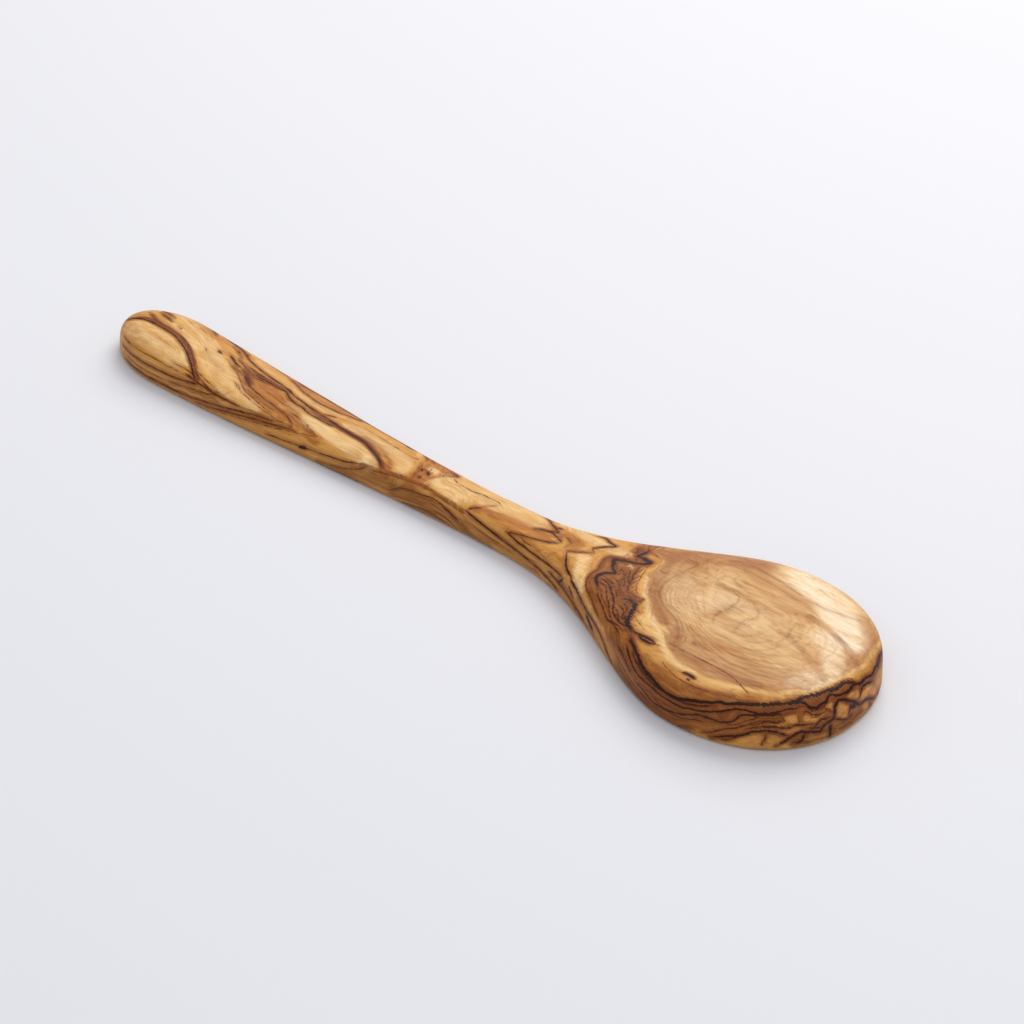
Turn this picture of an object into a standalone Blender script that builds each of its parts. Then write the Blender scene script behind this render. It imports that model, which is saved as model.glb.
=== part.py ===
"""A wooden ladle, carved from one billet of olive wood.

It lies face down, as on a table. The flat front of the handle and the rim of the bowl are in the plane z = 0,
the back of the bowl is up, the butt of the handle points to -X and the tip of the bowl to +X.
The origin is under the middle of the ladle's length. Sizes are in metres.
"""

import math

import bmesh
import bpy
import numpy as np

# Lengths, along the ladle
HANDLE_LENGTH = 0.165  # butt to the narrowest place of the neck
BOWL_LENGTH = 0.135  # narrowest place of the neck to the tip
BUTT_LENGTH = 0.0245  # the rounded end of the handle, which is widest where it ends
TIP_LENGTH = 0.042  # widest place of the bowl to the tip
GRIP_AT = 0.070  # butt to the middle of the grip
SHOULDER_LENGTH = 0.063  # from the neck on, how long the handle's crown takes to turn into the bowl's flat back
CROWN_SETBACK = 0.0355  # tip to the point from which the end of the bowl fans out

# Widths, across the ladle
HANDLE_WIDTH = 0.028
NECK_WIDTH = 0.0165
BOWL_WIDTH = 0.0725

# Heights of the back over the front plane
BUTT_HEIGHT = 0.0135
GRIP_HEIGHT = 0.0089
NECK_HEIGHT = 0.0094
BOWL_HEIGHT = 0.0148
TIP_HEIGHT = 0.0176

# Forms
FLARE = 1.5  # how late the neck opens into the bowl
TIP_FULLNESS = 2.15  # 2 is an ellipse, more is squarer
HANDLE_SQUARENESS = 3.6  # of the section across the handle
BOWL_SQUARENESS = 5.0  # of the section across the bowl
EDGE_RADIUS = 0.0015  # rounding of the outer edge on the front side

# The hollow of the bowl
RIM_WIDTH = 0.0050
FLOOR_THICKNESS = 0.0045
HOLLOW_SETBACK = 0.043  # narrowest place of the neck to the hollow
HOLLOW_END_LENGTH = 0.034  # the rounded end of the hollow on the neck's side
HOLLOW_ROUNDNESS = 2.3  # of the section across the hollow, 2 is an ellipse
LIP_RADIUS = 0.0012  # rounding of the hollow's edge

# How finely the surfaces are divided
BODY_STEPS = (12, 40, 20)  # round the butt, along the middle, round the tip
HOLLOW_STEPS = (10, 8, 16)  # round the neck's end, along the middle, round the tip
SECTION_STEPS = 11
EDGE_STEPS = 3
CUT_MARGIN = 0.004  # how far the cutter reaches below the front plane
WELD = 1e-6
SMOOTH_ANGLE = math.radians(35)

OLIVE_COLOUR = (0.45, 0.24, 0.09, 1.0)
OLIVE_ROUGHNESS = 0.45

LENGTH = HANDLE_LENGTH + BOWL_LENGTH
WIDEST_AT = LENGTH - TIP_LENGTH
CROWN_END = LENGTH - CROWN_SETBACK
HOLLOW_START = HANDLE_LENGTH + HOLLOW_SETBACK


def clear_scene():
    """Remove whatever the open file holds, so that the ladle stands alone."""
    for item in list(bpy.data.objects):
        bpy.data.objects.remove(item, do_unlink=True)


def new_collection(name):
    """Add an empty collection to the scene."""
    collection = bpy.data.collections.new(name)
    bpy.context.scene.collection.children.link(collection)
    return collection


def ease(share):
    """Go smoothly from 0 to 1 as the share does, flat at both ends."""
    share = np.clip(share, 0.0, 1.0)
    return share * share * (3.0 - 2.0 * share)


def plain_half_width(x):
    """Half the ladle's width where neither end rounds it off: handle, neck and flare of the bowl."""
    handle = ease((HANDLE_LENGTH - x) / (HANDLE_LENGTH - BUTT_LENGTH))
    bowl = ease((x - HANDLE_LENGTH) / (WIDEST_AT - HANDLE_LENGTH)) ** FLARE
    return (NECK_WIDTH + (HANDLE_WIDTH - NECK_WIDTH) * handle + (BOWL_WIDTH - NECK_WIDTH) * bowl) / 2


def inner_half_width(x, inset):
    """The same half width, drawn in square to the outline by the inset."""
    step = 1e-4
    slope = (plain_half_width(x + step) - plain_half_width(x - step)) / (2 * step)
    return plain_half_width(x) - inset * np.hypot(1.0, slope)


def outline(start, end_length, inset, steps):
    """Half the outline of the ladle or of its hollow, seen from above, from its start round to the tip.

    start is the place on the axis where it begins, end_length the length over which that end is rounded,
    inset how far it lies inside the ladle's own outline, and steps how finely its three stretches are
    divided. Returns the points' x and y.
    """
    end_turn = np.linspace(0.0, math.pi / 2, steps[0], endpoint=False)
    tip_turn = np.linspace(0.0, math.pi / 2, steps[2] + 1)
    end_x = start + end_length * (1.0 - np.cos(end_turn))
    middle_x = np.linspace(start + end_length, WIDEST_AT, steps[1], endpoint=False)
    tip_x = WIDEST_AT + (TIP_LENGTH - inset) * np.sin(tip_turn)
    end_y = inner_half_width(end_x, inset) * np.sin(end_turn)
    middle_y = inner_half_width(middle_x, inset)
    tip_share = np.maximum(1.0 - np.sin(tip_turn) ** TIP_FULLNESS, 0.0) ** (1.0 / TIP_FULLNESS)
    tip_share[-1] = 0.0
    tip_y = (BOWL_WIDTH / 2 - inset) * tip_share
    return np.concatenate([end_x, middle_x, tip_x]), np.concatenate([end_y, middle_y, tip_y])


def back_height(x):
    """Height of the back along the axis: a smooth curve through the butt, grip, neck, bowl and tip."""
    places = np.array([0.0, GRIP_AT, HANDLE_LENGTH, WIDEST_AT, LENGTH])
    heights = np.array([BUTT_HEIGHT, GRIP_HEIGHT, NECK_HEIGHT, BOWL_HEIGHT, TIP_HEIGHT])
    spans = np.diff(places)
    slopes = np.empty(len(places))
    slopes[1:-1] = (heights[2:] - heights[:-2]) / (places[2:] - places[:-2])
    slopes[0] = (heights[1] - heights[0]) / spans[0]
    slopes[-1] = (heights[-1] - heights[-2]) / spans[-1]
    span = np.clip(np.searchsorted(places, x, side="right") - 1, 0, len(spans) - 1)
    length = spans[span]
    share = np.clip((x - places[span]) / length, 0.0, 1.0)
    rise = heights[span] + (heights[span + 1] - heights[span]) * share * share * (3.0 - 2.0 * share)
    lean_in = length * slopes[span] * share * (1.0 - share) ** 2
    lean_out = length * slopes[span + 1] * share * share * (share - 1.0)
    return rise + lean_in + lean_out


def ring(x, y, z):
    """One line of points along the ladle, as rows of x, y and z."""
    return np.stack([x, y, np.broadcast_to(z, x.shape)], axis=-1)


def section_rings(edge, spine_x, squareness, base, height_at):
    """Rings from the edge up over the section to the spine, a superellipse from each point to the next.

    edge is the outline's x and y, spine_x where on the axis each point's section meets the top, squareness
    the superellipse's exponent, base the height where the section starts, and height_at the top's at an x.
    """
    rings = []
    for turn in np.linspace(0.0, math.pi / 2, SECTION_STEPS + 1):
        across = round(math.cos(turn), 9)
        up = math.sin(turn)
        reach = (across**squareness + up**squareness) ** (-1.0 / squareness)
        x = spine_x + (edge[0] - spine_x) * reach * across
        y = edge[1] * reach * across
        rings.append(ring(x, y, base + (height_at(x) - base) * reach * up))
    return rings


def body_rings():
    """The ladle's skin, from the middle of its flat front round the edge to the top of its back."""
    outer = outline(0.0, BUTT_LENGTH, 0.0, BODY_STEPS)
    spine_x = np.clip(outer[0], BUTT_LENGTH, CROWN_END)
    rings = [ring(spine_x, np.zeros_like(spine_x), 0.0)]
    for turn in np.linspace(0.0, math.pi / 2, EDGE_STEPS, endpoint=False):
        inset = EDGE_RADIUS * (1.0 - math.sin(turn))
        x, y = outline(inset, BUTT_LENGTH - inset, inset, BODY_STEPS)
        rings.append(ring(x, y, EDGE_RADIUS * (1.0 - math.cos(turn))))
    bowl_share = ease((outer[0] - HANDLE_LENGTH) / SHOULDER_LENGTH)
    squareness = HANDLE_SQUARENESS + (BOWL_SQUARENESS - HANDLE_SQUARENESS) * bowl_share
    return rings + section_rings(outer, spine_x, squareness, EDGE_RADIUS, back_height)


def mouth(widening):
    """The hollow's outline on the front plane, or wider all round by the widening, for its lip."""
    start = HOLLOW_START - widening
    return outline(start, HOLLOW_END_LENGTH + widening, RIM_WIDTH - widening, HOLLOW_STEPS)


def hollow_height(x):
    """Height of the hollow along the axis, which leaves the floor of the bowl its thickness."""
    return back_height(x) - FLOOR_THICKNESS


def hollow_rings():
    """The tool that cuts the hollow: a plug under the front plane, a rounded lip and the dish over it."""
    edge = mouth(0.0)
    spine_x = np.clip(edge[0], HOLLOW_START + HOLLOW_END_LENGTH, CROWN_END)
    rings = [ring(spine_x, np.zeros_like(spine_x), -CUT_MARGIN), ring(*mouth(LIP_RADIUS), -CUT_MARGIN)]
    for turn in np.linspace(0.0, math.pi / 2, EDGE_STEPS, endpoint=False):
        widening = LIP_RADIUS * (1.0 - math.sin(turn))
        rings.append(ring(*mouth(widening), LIP_RADIUS * (1.0 - math.cos(turn))))
    return rings + section_rings(edge, spine_x, HOLLOW_ROUNDNESS, LIP_RADIUS, hollow_height)


def lofted_solid(name, rings, collection):
    """Loft a skin over the rings as half a solid, open at the plane y = 0, and mirror it there."""
    points = np.stack(rings)
    columns, rows = points.shape[0] - 1, points.shape[1] - 1
    loft = bmesh.new()
    bmesh.ops.create_grid(loft, x_segments=columns, y_segments=rows, size=1.0)
    for vertex in loft.verts:
        column = round((vertex.co.x + 1.0) / 2.0 * columns)
        row = round((vertex.co.y + 1.0) / 2.0 * rows)
        vertex.co = points[column, row] - (LENGTH / 2, 0.0, 0.0)
    bmesh.ops.remove_doubles(loft, verts=loft.verts, dist=WELD)
    mesh = bpy.data.meshes.new(name)
    loft.to_mesh(mesh)
    loft.free()
    mesh.shade_smooth()
    mesh.set_sharp_from_angle(angle=SMOOTH_ANGLE)
    solid = bpy.data.objects.new(name, mesh)
    collection.objects.link(solid)
    mirror = solid.modifiers.new("Other half", "MIRROR")
    mirror.use_axis = (False, True, False)
    mirror.use_clip = True
    mirror.merge_threshold = WELD
    return solid


def olive_wood():
    """Oiled olive wood, satin."""
    material = bpy.data.materials.new("olive_wood")
    material.use_nodes = True
    shader = material.node_tree.nodes["Principled BSDF"]
    shader.inputs["Base Color"].default_value = OLIVE_COLOUR
    shader.inputs["Roughness"].default_value = OLIVE_ROUGHNESS
    shader.inputs["Metallic"].default_value = 0.0
    return material


def main():
    """Carve the ladle: loft its outer form, then cut the hollow out of the bowl's front."""
    clear_scene()
    ladle_parts = new_collection("wooden_ladle")
    cutters = new_collection("cutters")
    ladle = lofted_solid("ladle", body_rings(), ladle_parts)
    ladle.data.materials.append(olive_wood())
    hollow = lofted_solid("bowl_hollow_cutter", hollow_rings(), cutters)
    hollow.display_type = "WIRE"
    hollow.hide_render = True
    cut = ladle.modifiers.new("Bowl hollow", "BOOLEAN")
    cut.operation = "DIFFERENCE"
    cut.solver = "EXACT"
    cut.object = hollow


main()
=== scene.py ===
"""A wooden ladle carved from one billet of olive wood, lying face down, dressed and lit.

The ladle lies as it was packed: +X from the butt of the handle to the tip of the bowl, +Z up out of the back
of the bowl. Forms are in metres. The figure of the wood is in millimetres, measured from the butt.
"""

import logging
import math
from dataclasses import dataclass, field
from enum import Enum
from typing import Any, Sequence

import bmesh
import bpy
import numpy as np
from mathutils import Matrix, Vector, noise
from mathutils.bvhtree import BVHTree
from mathutils.kdtree import KDTree


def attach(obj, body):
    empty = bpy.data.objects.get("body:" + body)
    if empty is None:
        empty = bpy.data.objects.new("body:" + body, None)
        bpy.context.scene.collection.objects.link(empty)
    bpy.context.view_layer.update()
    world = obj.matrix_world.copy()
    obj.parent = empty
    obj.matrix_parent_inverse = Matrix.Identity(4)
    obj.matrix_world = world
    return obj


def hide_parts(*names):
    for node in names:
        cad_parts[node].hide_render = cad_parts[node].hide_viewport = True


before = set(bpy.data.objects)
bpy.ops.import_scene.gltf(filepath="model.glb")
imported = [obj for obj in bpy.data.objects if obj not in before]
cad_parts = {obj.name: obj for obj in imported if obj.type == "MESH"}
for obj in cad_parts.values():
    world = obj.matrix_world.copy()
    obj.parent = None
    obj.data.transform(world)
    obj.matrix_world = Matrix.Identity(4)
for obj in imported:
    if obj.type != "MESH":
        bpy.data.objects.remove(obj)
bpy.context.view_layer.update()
LOG = logging.getLogger("wooden_ladle")
MILLIMETRE = 0.001
WELD = 1e-6
TINY = 1e-9
QUARTER = math.pi / 2
SMOOTH = {"interpolation_type": "SMOOTHSTEP"}
# How many corners of the mesh are worked out at a time, which keeps the memory small
CHUNK = 4096
# The numbers of a Mix node's sockets when it mixes colours
MIX_AMOUNT, MIX_UNDER, MIX_OVER, MIXED = 0, 6, 7, 2
Numbers = tuple[float, ...]


def ease(share: np.ndarray) -> np.ndarray:
    """Go smoothly from 0 to 1 as the share does, flat at both ends."""
    share = np.clip(share, 0.0, 1.0)
    return share * share * (3.0 - 2.0 * share)


def turns_to_quarter(count: int) -> np.ndarray:
    """Evenly spaced turns from 0 to a quarter turn, which is left out."""
    return np.linspace(0.0, QUARTER, count, endpoint=False)


def pairs(numbers: Numbers) -> np.ndarray:
    """The numbers of a line as its points, two each."""
    return np.array(numbers, float).reshape(-1, 2)


def lengths_along(line: np.ndarray) -> np.ndarray:
    """How far along a line each of its points lies."""
    return np.concatenate([[0.0], np.cumsum(np.linalg.norm(np.diff(line, axis=0), axis=1))])


def places_along(line: np.ndarray, lengths: np.ndarray) -> np.ndarray:
    """The places at those lengths along a line."""
    along = lengths_along(line)
    return np.stack([np.interp(lengths, along, values) for values in line.T], -1)


def linear_colour(colour: str) -> tuple[float, float, float, float]:
    """Turn an sRGB hex colour into the linear colour a shader takes.

    Args:
        colour: Six hex digits.

    Returns:
        Linear red, green, blue and an alpha of 1.
    """
    parts = [int(colour[place:place + 2], 16) / 255 for place in (0, 2, 4)]
    linear = [part / 12.92 if part <= 0.04045 else ((part + 0.055) / 1.055) ** 2.4 for part in parts]
    return linear[0], linear[1], linear[2], 1.0


def put(name: str, data: Any) -> bpy.types.Object:
    """Put a mesh, a lamp or a camera into the scene as an object at the origin."""
    piece = bpy.data.objects.new(name, data)
    bpy.context.scene.collection.objects.link(piece)
    return piece


def stand(piece: bpy.types.Object, azimuth: float, elevation: float, distance: float,
          aim: Numbers = (0.0, 0.0, 0.0)) -> None:
    """Stand a lamp or a camera off from a point and turn it to face that point.

    Args:
        piece: The lamp or camera.
        azimuth: Degrees from +X towards +Y.
        elevation: Degrees above the floor.
        distance: How far off it stands.
        aim: The point.
    """
    turn, rise = math.radians(azimuth), math.radians(elevation)
    away = Vector((math.cos(turn) * math.cos(rise), math.sin(turn) * math.cos(rise), math.sin(rise)))
    piece.location = Vector(aim) + away * distance
    piece.rotation_euler = away.to_track_quat("Z", "Y").to_euler()


@dataclass(frozen=True)
class Vein:
    """A dark line in the wood, through points given along it, in millimetres.

    width is its thickness, which thins out at both ends; without one it isn't drawn. top runs over the back
    of the ladle and holds x, y, x, y and so on. side runs over the wall and holds s, z, s, z and so on, s
    being the way along the outline from the end of the butt by -Y to the tip, at 331, and on. A level makes
    the growth layers follow the vein: it is the layer's height where it would lie flat. rise is how much
    higher the layers are a millimetre to the left of the line over the back.
    """

    width: float = 0.0
    darkness: float = 1.0
    top: Numbers = ()
    side: Numbers = ()
    level: float | None = None
    rise: float = 0.0


BUTT_VEINS = (
    Vein(0.65, 1, (3, -3.6, 6, -2.3, 9, -1.1, 13, -0.5, 18, -0.4, 22, -0.4, 25, -1, 27, -1.8, 30, -2.9,
        33, -4.4, 36, -6.5, 39, -8.5, 41, -10.2, 44, -11.7), level=4.8, rise=-1.3),
    Vein(0.3, 0.55, level=4.8, side=(10, 8.4, 15, 8.9, 22, 9.3, 30, 9.4, 37, 9.1, 44, 8.8, 50, 8.4, 56, 7.8)),
    Vein(0.4, 0.8, (39, -8.4, 41.6, -9.4, 44.6, -10.4, 48, -11.2, 52, -11.6)),
    Vein(0.3, 0.6, (40.6, -8.2, 44, -9.2, 48, -10, 53, -10.6)),
    Vein(0.35, 0.7, (30, -10.4, 35, -10.2, 39, -10, 42.6, -10.8)),
    Vein(0.35, 0.8, (20, 0.4, 23, 0.9, 26, 0.2, 29, -0.8, 32, -2.1, 35, -4.3, 38, -6.5, 41, -8.9)),
    Vein(0.5, 0.7, (8, 3.4, 11, 2, 14, 0.9, 18, 0.4)),
    Vein(0.7, 0.7, (11.5, 5.6, 14, 5.1, 17.2, 4.6)),
    Vein(0.8, 0.6, (9, 8.2, 13, 7.2, 16.2, 6.3)),
    Vein(0.4, 0.5, (20, 3.9, 23.5, 3.3)),
    Vein(0.6, 0.6, (4, 4.2, 6, 6.4, 9, 9)),
    Vein(0.9, 0.8, (27, 12.6, 30, 11.4, 32.2, 10.1)),
    Vein(0.3, 0.5, (25, 8.8, 28, 8.3, 31, 7.5)),
    Vein(0.7, 0.9, (38.9, 3.9, 41.2, 3.2)),
    Vein(0.6, 1, (43.2, 5.1, 44.6, 4.3, 46, 3.6, 48.5, 2.6, 51, 2.1)),
    Vein(0.6, 0.8, (43.8, 8.5, 45, 7.6)),
    Vein(0.3, 0.5, (35, 1.9, 37, 0.6)),
    Vein(level=5.6, top=(9, -5, 16, -6.5, 25, -7.5, 33, -8.5)),
    Vein(0.6, 0.75, side=(44, 9.2, 48, 8.7, 54, 8, 62, 7.4, 70, 7.2)),
    Vein(0.5, 0.75, level=2.4, side=(12, 5.9, 18, 6.5, 25, 6.7, 35, 6.8, 42, 7.1, 47, 7.6, 53, 8.2)),
    Vein(level=0.9, top=(12, 6, 22, 4.5, 30, 3, 38, 0, 44, -3, 49, -7)),
)
GRIP_VEINS = (
    Vein(0.35, 0.6, (45, 2.3, 47, 1.2, 49, 0.2, 52, -0.6, 55, -2.6, 58, -4.6, 60, -5.7, 64, -6.4, 68, -7.2,
        72, -8, 76, -8.8), level=-0.2, side=(14, 4.2, 25, 4.1, 35, 4.4, 45, 5.4, 52, 6.4, 58, 7.2, 64, 7.7)),
    Vein(0.5, 0.95, (33, 12.6, 36, 11.6, 40, 11, 43, 10.4, 46, 9.3, 48, 8.3, 50, 7.4, 53, 6.5, 56, 5.9,
        60, 5.3, 66, 4.7, 70, 4.2, 74, 3, 78, 2.3, 82, 1.8, 87, 1.3, 92, 0.8, 97, 0.1), level=-8.3,
        rise=-0.7),
    Vein(1.1, 0.85, (90, 0.9, 95, 0.5, 98, 0.1, 101, -0.2, 105, -0.2, 108, -0.6, 110, -1.3, 112, -2.2,
        114, -2.8, 116, -3.6, 118, -4.8, 119.5, -6, 120.5, -7.2)),
    Vein(0.35, 0.7, side=(124.5, 8, 122, 7, 118, 5, 112, 3, 106, 2)),
    Vein(0.45, 0.85, (53, 1.6, 55, 0, 57, -1.8, 59, -2.8, 63, -3.8, 68, -4.7, 73, -5.2, 77, -5.7, 80, -6.5,
        82, -7.4, 84, -8.7), level=-2, rise=-0.7, side=(15, 2.5, 30, 2.3, 42, 2.4, 50, 3.1, 56, 4, 62, 5,
        68, 6, 76, 6.9, 84, 7.4)),
    Vein(0.55, 0.95, (55, 3.2, 57, 3.3, 59, 2.4, 61, 2.8, 65, 2.8, 68, 2.7, 70, 2.9, 71.5, 2.2, 73, 1.3,
        75, 0.6, 78, 0.1, 80, 0.2, 82, -0.5, 84, -0.9, 88, -0.8, 92, -1, 96, -0.6), level=-7.2),
    Vein(0.4, 0.85, (55, 4, 58, 3.6, 62, 3.8, 66, 3.6, 69, 3.9)),
    Vein(0.4, 0.8, (52.6, 3, 55, 2.4, 57.6, 1.6, 61, 1.8, 65, 1.9)),
    Vein(0.5, 0.9, (54, 0.6, 56, -0.8, 58.4, -2.2, 60.6, -3)),
    Vein(0.3, 0.55, (53, -3.6, 56, -5.4, 60, -7, 66, -8.1, 73, -8.9, 82, -9.5)),
    Vein(0.3, 0.5, (58, -4.6, 64, -5.7, 71, -6.5, 78, -7.4)),
    Vein(0.3, 0.5, (60, -0.6, 67, -1.6, 75, -2.4, 84, -3.4)),
    Vein(0.6, 0.85, (66, 10.6, 72, 9.9, 80, 9.6, 88, 9.3, 96, 9, 104, 8.8)),
    Vein(0.6, 0.6, (50.5, 2.2, 54, 1.2, 57, 0.4)),
    Vein(1.6, 0.7, (54.4, 0.6, 56.6, -0.8, 59.4, -2.4)),
    Vein(0.5, 0.9, (47, 2.9, 49, 2.4, 51.2, 2.1)),
    Vein(0.4, 0.8, (39, 3.9, 40, 3.6, 41.6, 3.2)),
    Vein(0.9, 0.95, (30, 12.7, 36, 12, 41, 11.4, 44, 10.6)),
    Vein(0.6, 0.6, (51.6, 4.6, 55, 4.2, 58, 3.9, 61, 4.1)),
    Vein(0.5, 0.5, (53, 3, 57, 2.2, 62, 2.6, 66, 2.3)),
    Vein(0.35, 0.6, (46.5, 5.1, 50, 4, 53, 2.9, 55, 1.6)),
    Vein(0.35, 0.6, (48, 1.2, 51, 0.4, 54, -0.3, 57, -0.2)),
    Vein(0.3, 0.5, (55, -4, 57, -5.2, 59, -6.8)),
    Vein(0.3, 0.6, (78, -3.9, 81, -4.3, 86, -5.1, 90, -6.3, 94, -7.9), level=-3.8, rise=-0.5, side=(60, 2.2,
        68, 3.7, 74, 4.6, 80, 5.4, 88, 6.6, 95, 7.4, 101, 7.9)),
    Vein(0.5, 0.7, side=(50, 1.8, 58, 2.7, 66, 4.3, 72, 5.3, 80, 6.3, 88, 7.1, 94, 7.4)),
    Vein(0.4, 0.75, (86.5, 1.7, 89, 2.5, 91, 3.2, 92.8, 3.7)),
    Vein(0.35, 0.9, (63.5, 10.2, 66, 9.6, 69, 8.8, 71, 7.9, 73, 7, 75, 6.5, 78, 6.1, 81, 5.6, 85, 5.6,
        89, 5.8, 92, 6.2, 94, 6.9, 97, 7.5, 101, 8.2), level=-10.6, rise=-0.4),
    Vein(0.6, 0.9, (70, 10.4, 72.6, 9.6)),
    Vein(0.2, 0.55, (92, 3.5, 96, 4.4, 100, 4.9, 104, 5.1, 108, 4.9, 112, 4.4, 116, 4, 120, 3.7, 124, 3.4,
        127, 3.8, 129, 4.6)),
    Vein(0.7, 1, (117, 8.4, 119, 7.8, 121, 7.5)),
    Vein(0.9, 0.9, (97, 9.4, 106, 9, 112, 8.7, 117, 8.3, 121.4, 7.6)),
    Vein(1.1, 1, side=(94.8, 3.7, 98.8, 4.4)),
    Vein(0.35, 0.8, level=-5.8, side=(80, 2.6, 90, 3.7, 100, 4.6, 105, 5, 113, 5.8, 120, 7.2)),
    Vein(level=-4.9, top=(96, -6, 104, -5.5, 112, -6.5)),
)
KNOT_VEINS = (
    Vein(0.35, 0.8, (126.4, 8.2, 127.2, 7, 128.4, 5.8, 129.6, 4.6)),
    Vein(0.35, 0.7, (129.3, 7.6, 131, 6, 132, 5.2)),
    Vein(0.8, 0.9, (140, 5.2, 141.6, 5, 143, 4.7)),
    Vein(0.25, 0.75, (141, 4.2, 142.5, 2.9, 144, 2.2, 147, 2, 150, 1.8, 153, 2.1, 156, 2.5, 159, 2.6,
        161.5, 2.4, 163.2, 1.5), level=-3.8, rise=-0.7),
    Vein(0.8, 0.9, (130.4, 0.9, 131.9, -0.5)),
    Vein(1, 0.9, (132.9, 1, 134, 0, 135, -0.7)),
    Vein(0.9, 0.95, (132.2, -2.8, 133.7, -3)),
    Vein(0.25, 0.6, (136, -3.7, 137.6, -3.9, 139, -4.4)),
    Vein(0.35, 0.55, (162.4, 1.3, 160.6, 0.2, 160, -0.8, 158.6, -1.7, 158.4, -2.7)),
    Vein(0.6, 0.8, (158.8, -2.6, 157.5, -3.6, 156, -4.7, 154.8, -5.8)),
    Vein(0.2, 0.4, (159, -2.7, 162, -2.2, 166, -1.5, 170, -0.9)),
    Vein(0.3, 0.75, level=-9.6, side=(131, 3, 135, 5.3, 138, 6.4, 142, 6.7, 146, 6.9, 148, 7.3, 153, 6.9,
        156, 6.1, 158, 5)),
    Vein(0.25, 0.5, side=(140, 5.4, 146, 6.1, 152, 5.6, 156, 4.4)),
    Vein(0.6, 0.85, side=(152.6, 6.9, 156, 6.1, 158, 5.2, 160.6, 4.6)),
    Vein(0.3, 0.6, side=(122, 6.6, 130, 7.4, 139, 8, 148, 8.2, 156, 7.8)),
    Vein(0.5, 1, side=(160.3, 8.4, 165, 7.8, 170, 7.2, 175, 6.5, 180, 5.7, 186, 4.9, 192, 4.3, 198, 3.3,
        205, 2)),
    Vein(0.3, 0.5, side=(160, 7.2, 163, 6, 168, 5.1, 176, 4.2, 184, 3)),
    Vein(level=-9.8, top=(108, 4, 116, 4, 118, 0, 123, 2, 124, -3, 127, -1)),
    Vein(level=-11, top=(133, 0, 134, 4, 131, 3, 133, -3)),
    Vein(level=-7.6, top=(141, -2.5, 145, -1.2, 149, -3.2)),
)
NECK_VEINS = (
    Vein(0.6, 1, (175.6, 7, 178, 5.9, 180, 5, 181.2, 4, 183, 3.5, 184.2, 2.6, 185.3, 2.1, 183.8, 1.2,
        182, 0.5, 180.2, 0.1, 178, -0.7), level=-2.8, rise=0.6),
    Vein(0.55, 0.95, (183.4, 3.7, 185.3, 4.3)),
    Vein(0.5, 0.95, (182.8, 0.9, 185, 0.2, 187, -0.3, 188.2, -0.8, 189.7, -1.5)),
    Vein(0.55, 0.85, (189.2, -1.8, 187.6, -2.7, 186.4, -3.3, 184.4, -4.1, 182, -4.6, 179, -5.1, 176, -5.6,
        173, -6.2, 170.5, -6.7), level=-1.6, rise=-0.6, side=(177, 8.6, 183, 7.9, 188, 7.6, 194, 7.6,
        200, 7.9, 206, 8.1)),
    Vein(0.4, 0.8, (188.3, 2.1, 190, 1.2, 191.5, 0.4, 192.7, -0.2)),
    Vein(0.6, 1, (195, 7.9, 197, 8.8, 199, 8.8, 200.5, 7.9, 202, 7.5, 204, 7.2, 203, 6.3, 201, 4.7, 200, 3.5,
        199, 2.4, 198.8, 1.9, 199.5, 1.4, 200.3, 0.8), level=3.5, rise=1),
    Vein(0.4, 0.75, (200, 0.3, 198.5, -0.8, 197, -1.6, 195.5, -2.5, 194, -3.6, 193.4, -4.4)),
    Vein(0.7, 0.95, (193.4, -4, 194.2, -5.2, 195, -6.2, 196, -7.6, 196.8, -8.6, 198, -9.6, 200, -10.9,
        203, -12.7), level=3.5, side=(207, 9.6, 210, 9.2, 214, 8.6, 218, 7.6, 222, 7, 227, 6.9, 231, 6.2,
        234, 5, 237, 3.6, 240, 2.2)),
    Vein(0.3, 0.6, side=(181, 9.3, 186, 8.7, 192, 8.8, 198, 8.5)),
    Vein(0.9, 0.9, side=(205.6, 8, 204.6, 6.6, 203.6, 5.2, 204, 4)),
    Vein(0.7, 0.85, level=-0.5, side=(197, 6.2, 202, 5.4, 206, 5, 210, 4, 215, 3, 221, 2.1)),
    Vein(0.7, 0.8, side=(208.6, 7.6, 211, 6.6, 212.6, 5)),
    Vein(1.5, 1.1, side=(220.6, 6, 223, 4.9, 226.4, 3.2)),
    Vein(0.8, 0.8, side=(229, 6.8, 233, 5.6, 236, 4, 239, 2.6, 242, 1.8)),
    Vein(0.3, 0.5, side=(213, 8, 217, 6.7, 220, 5.8)),
    Vein(level=5.2, top=(201, -3, 202, -7, 205, 5), side=(212, 10.2, 222, 9.3, 232, 8, 238, 6)),
    Vein(level=-4.6, top=(166, 1.5, 172, 2.5, 176, 2.5)),
)
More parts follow.
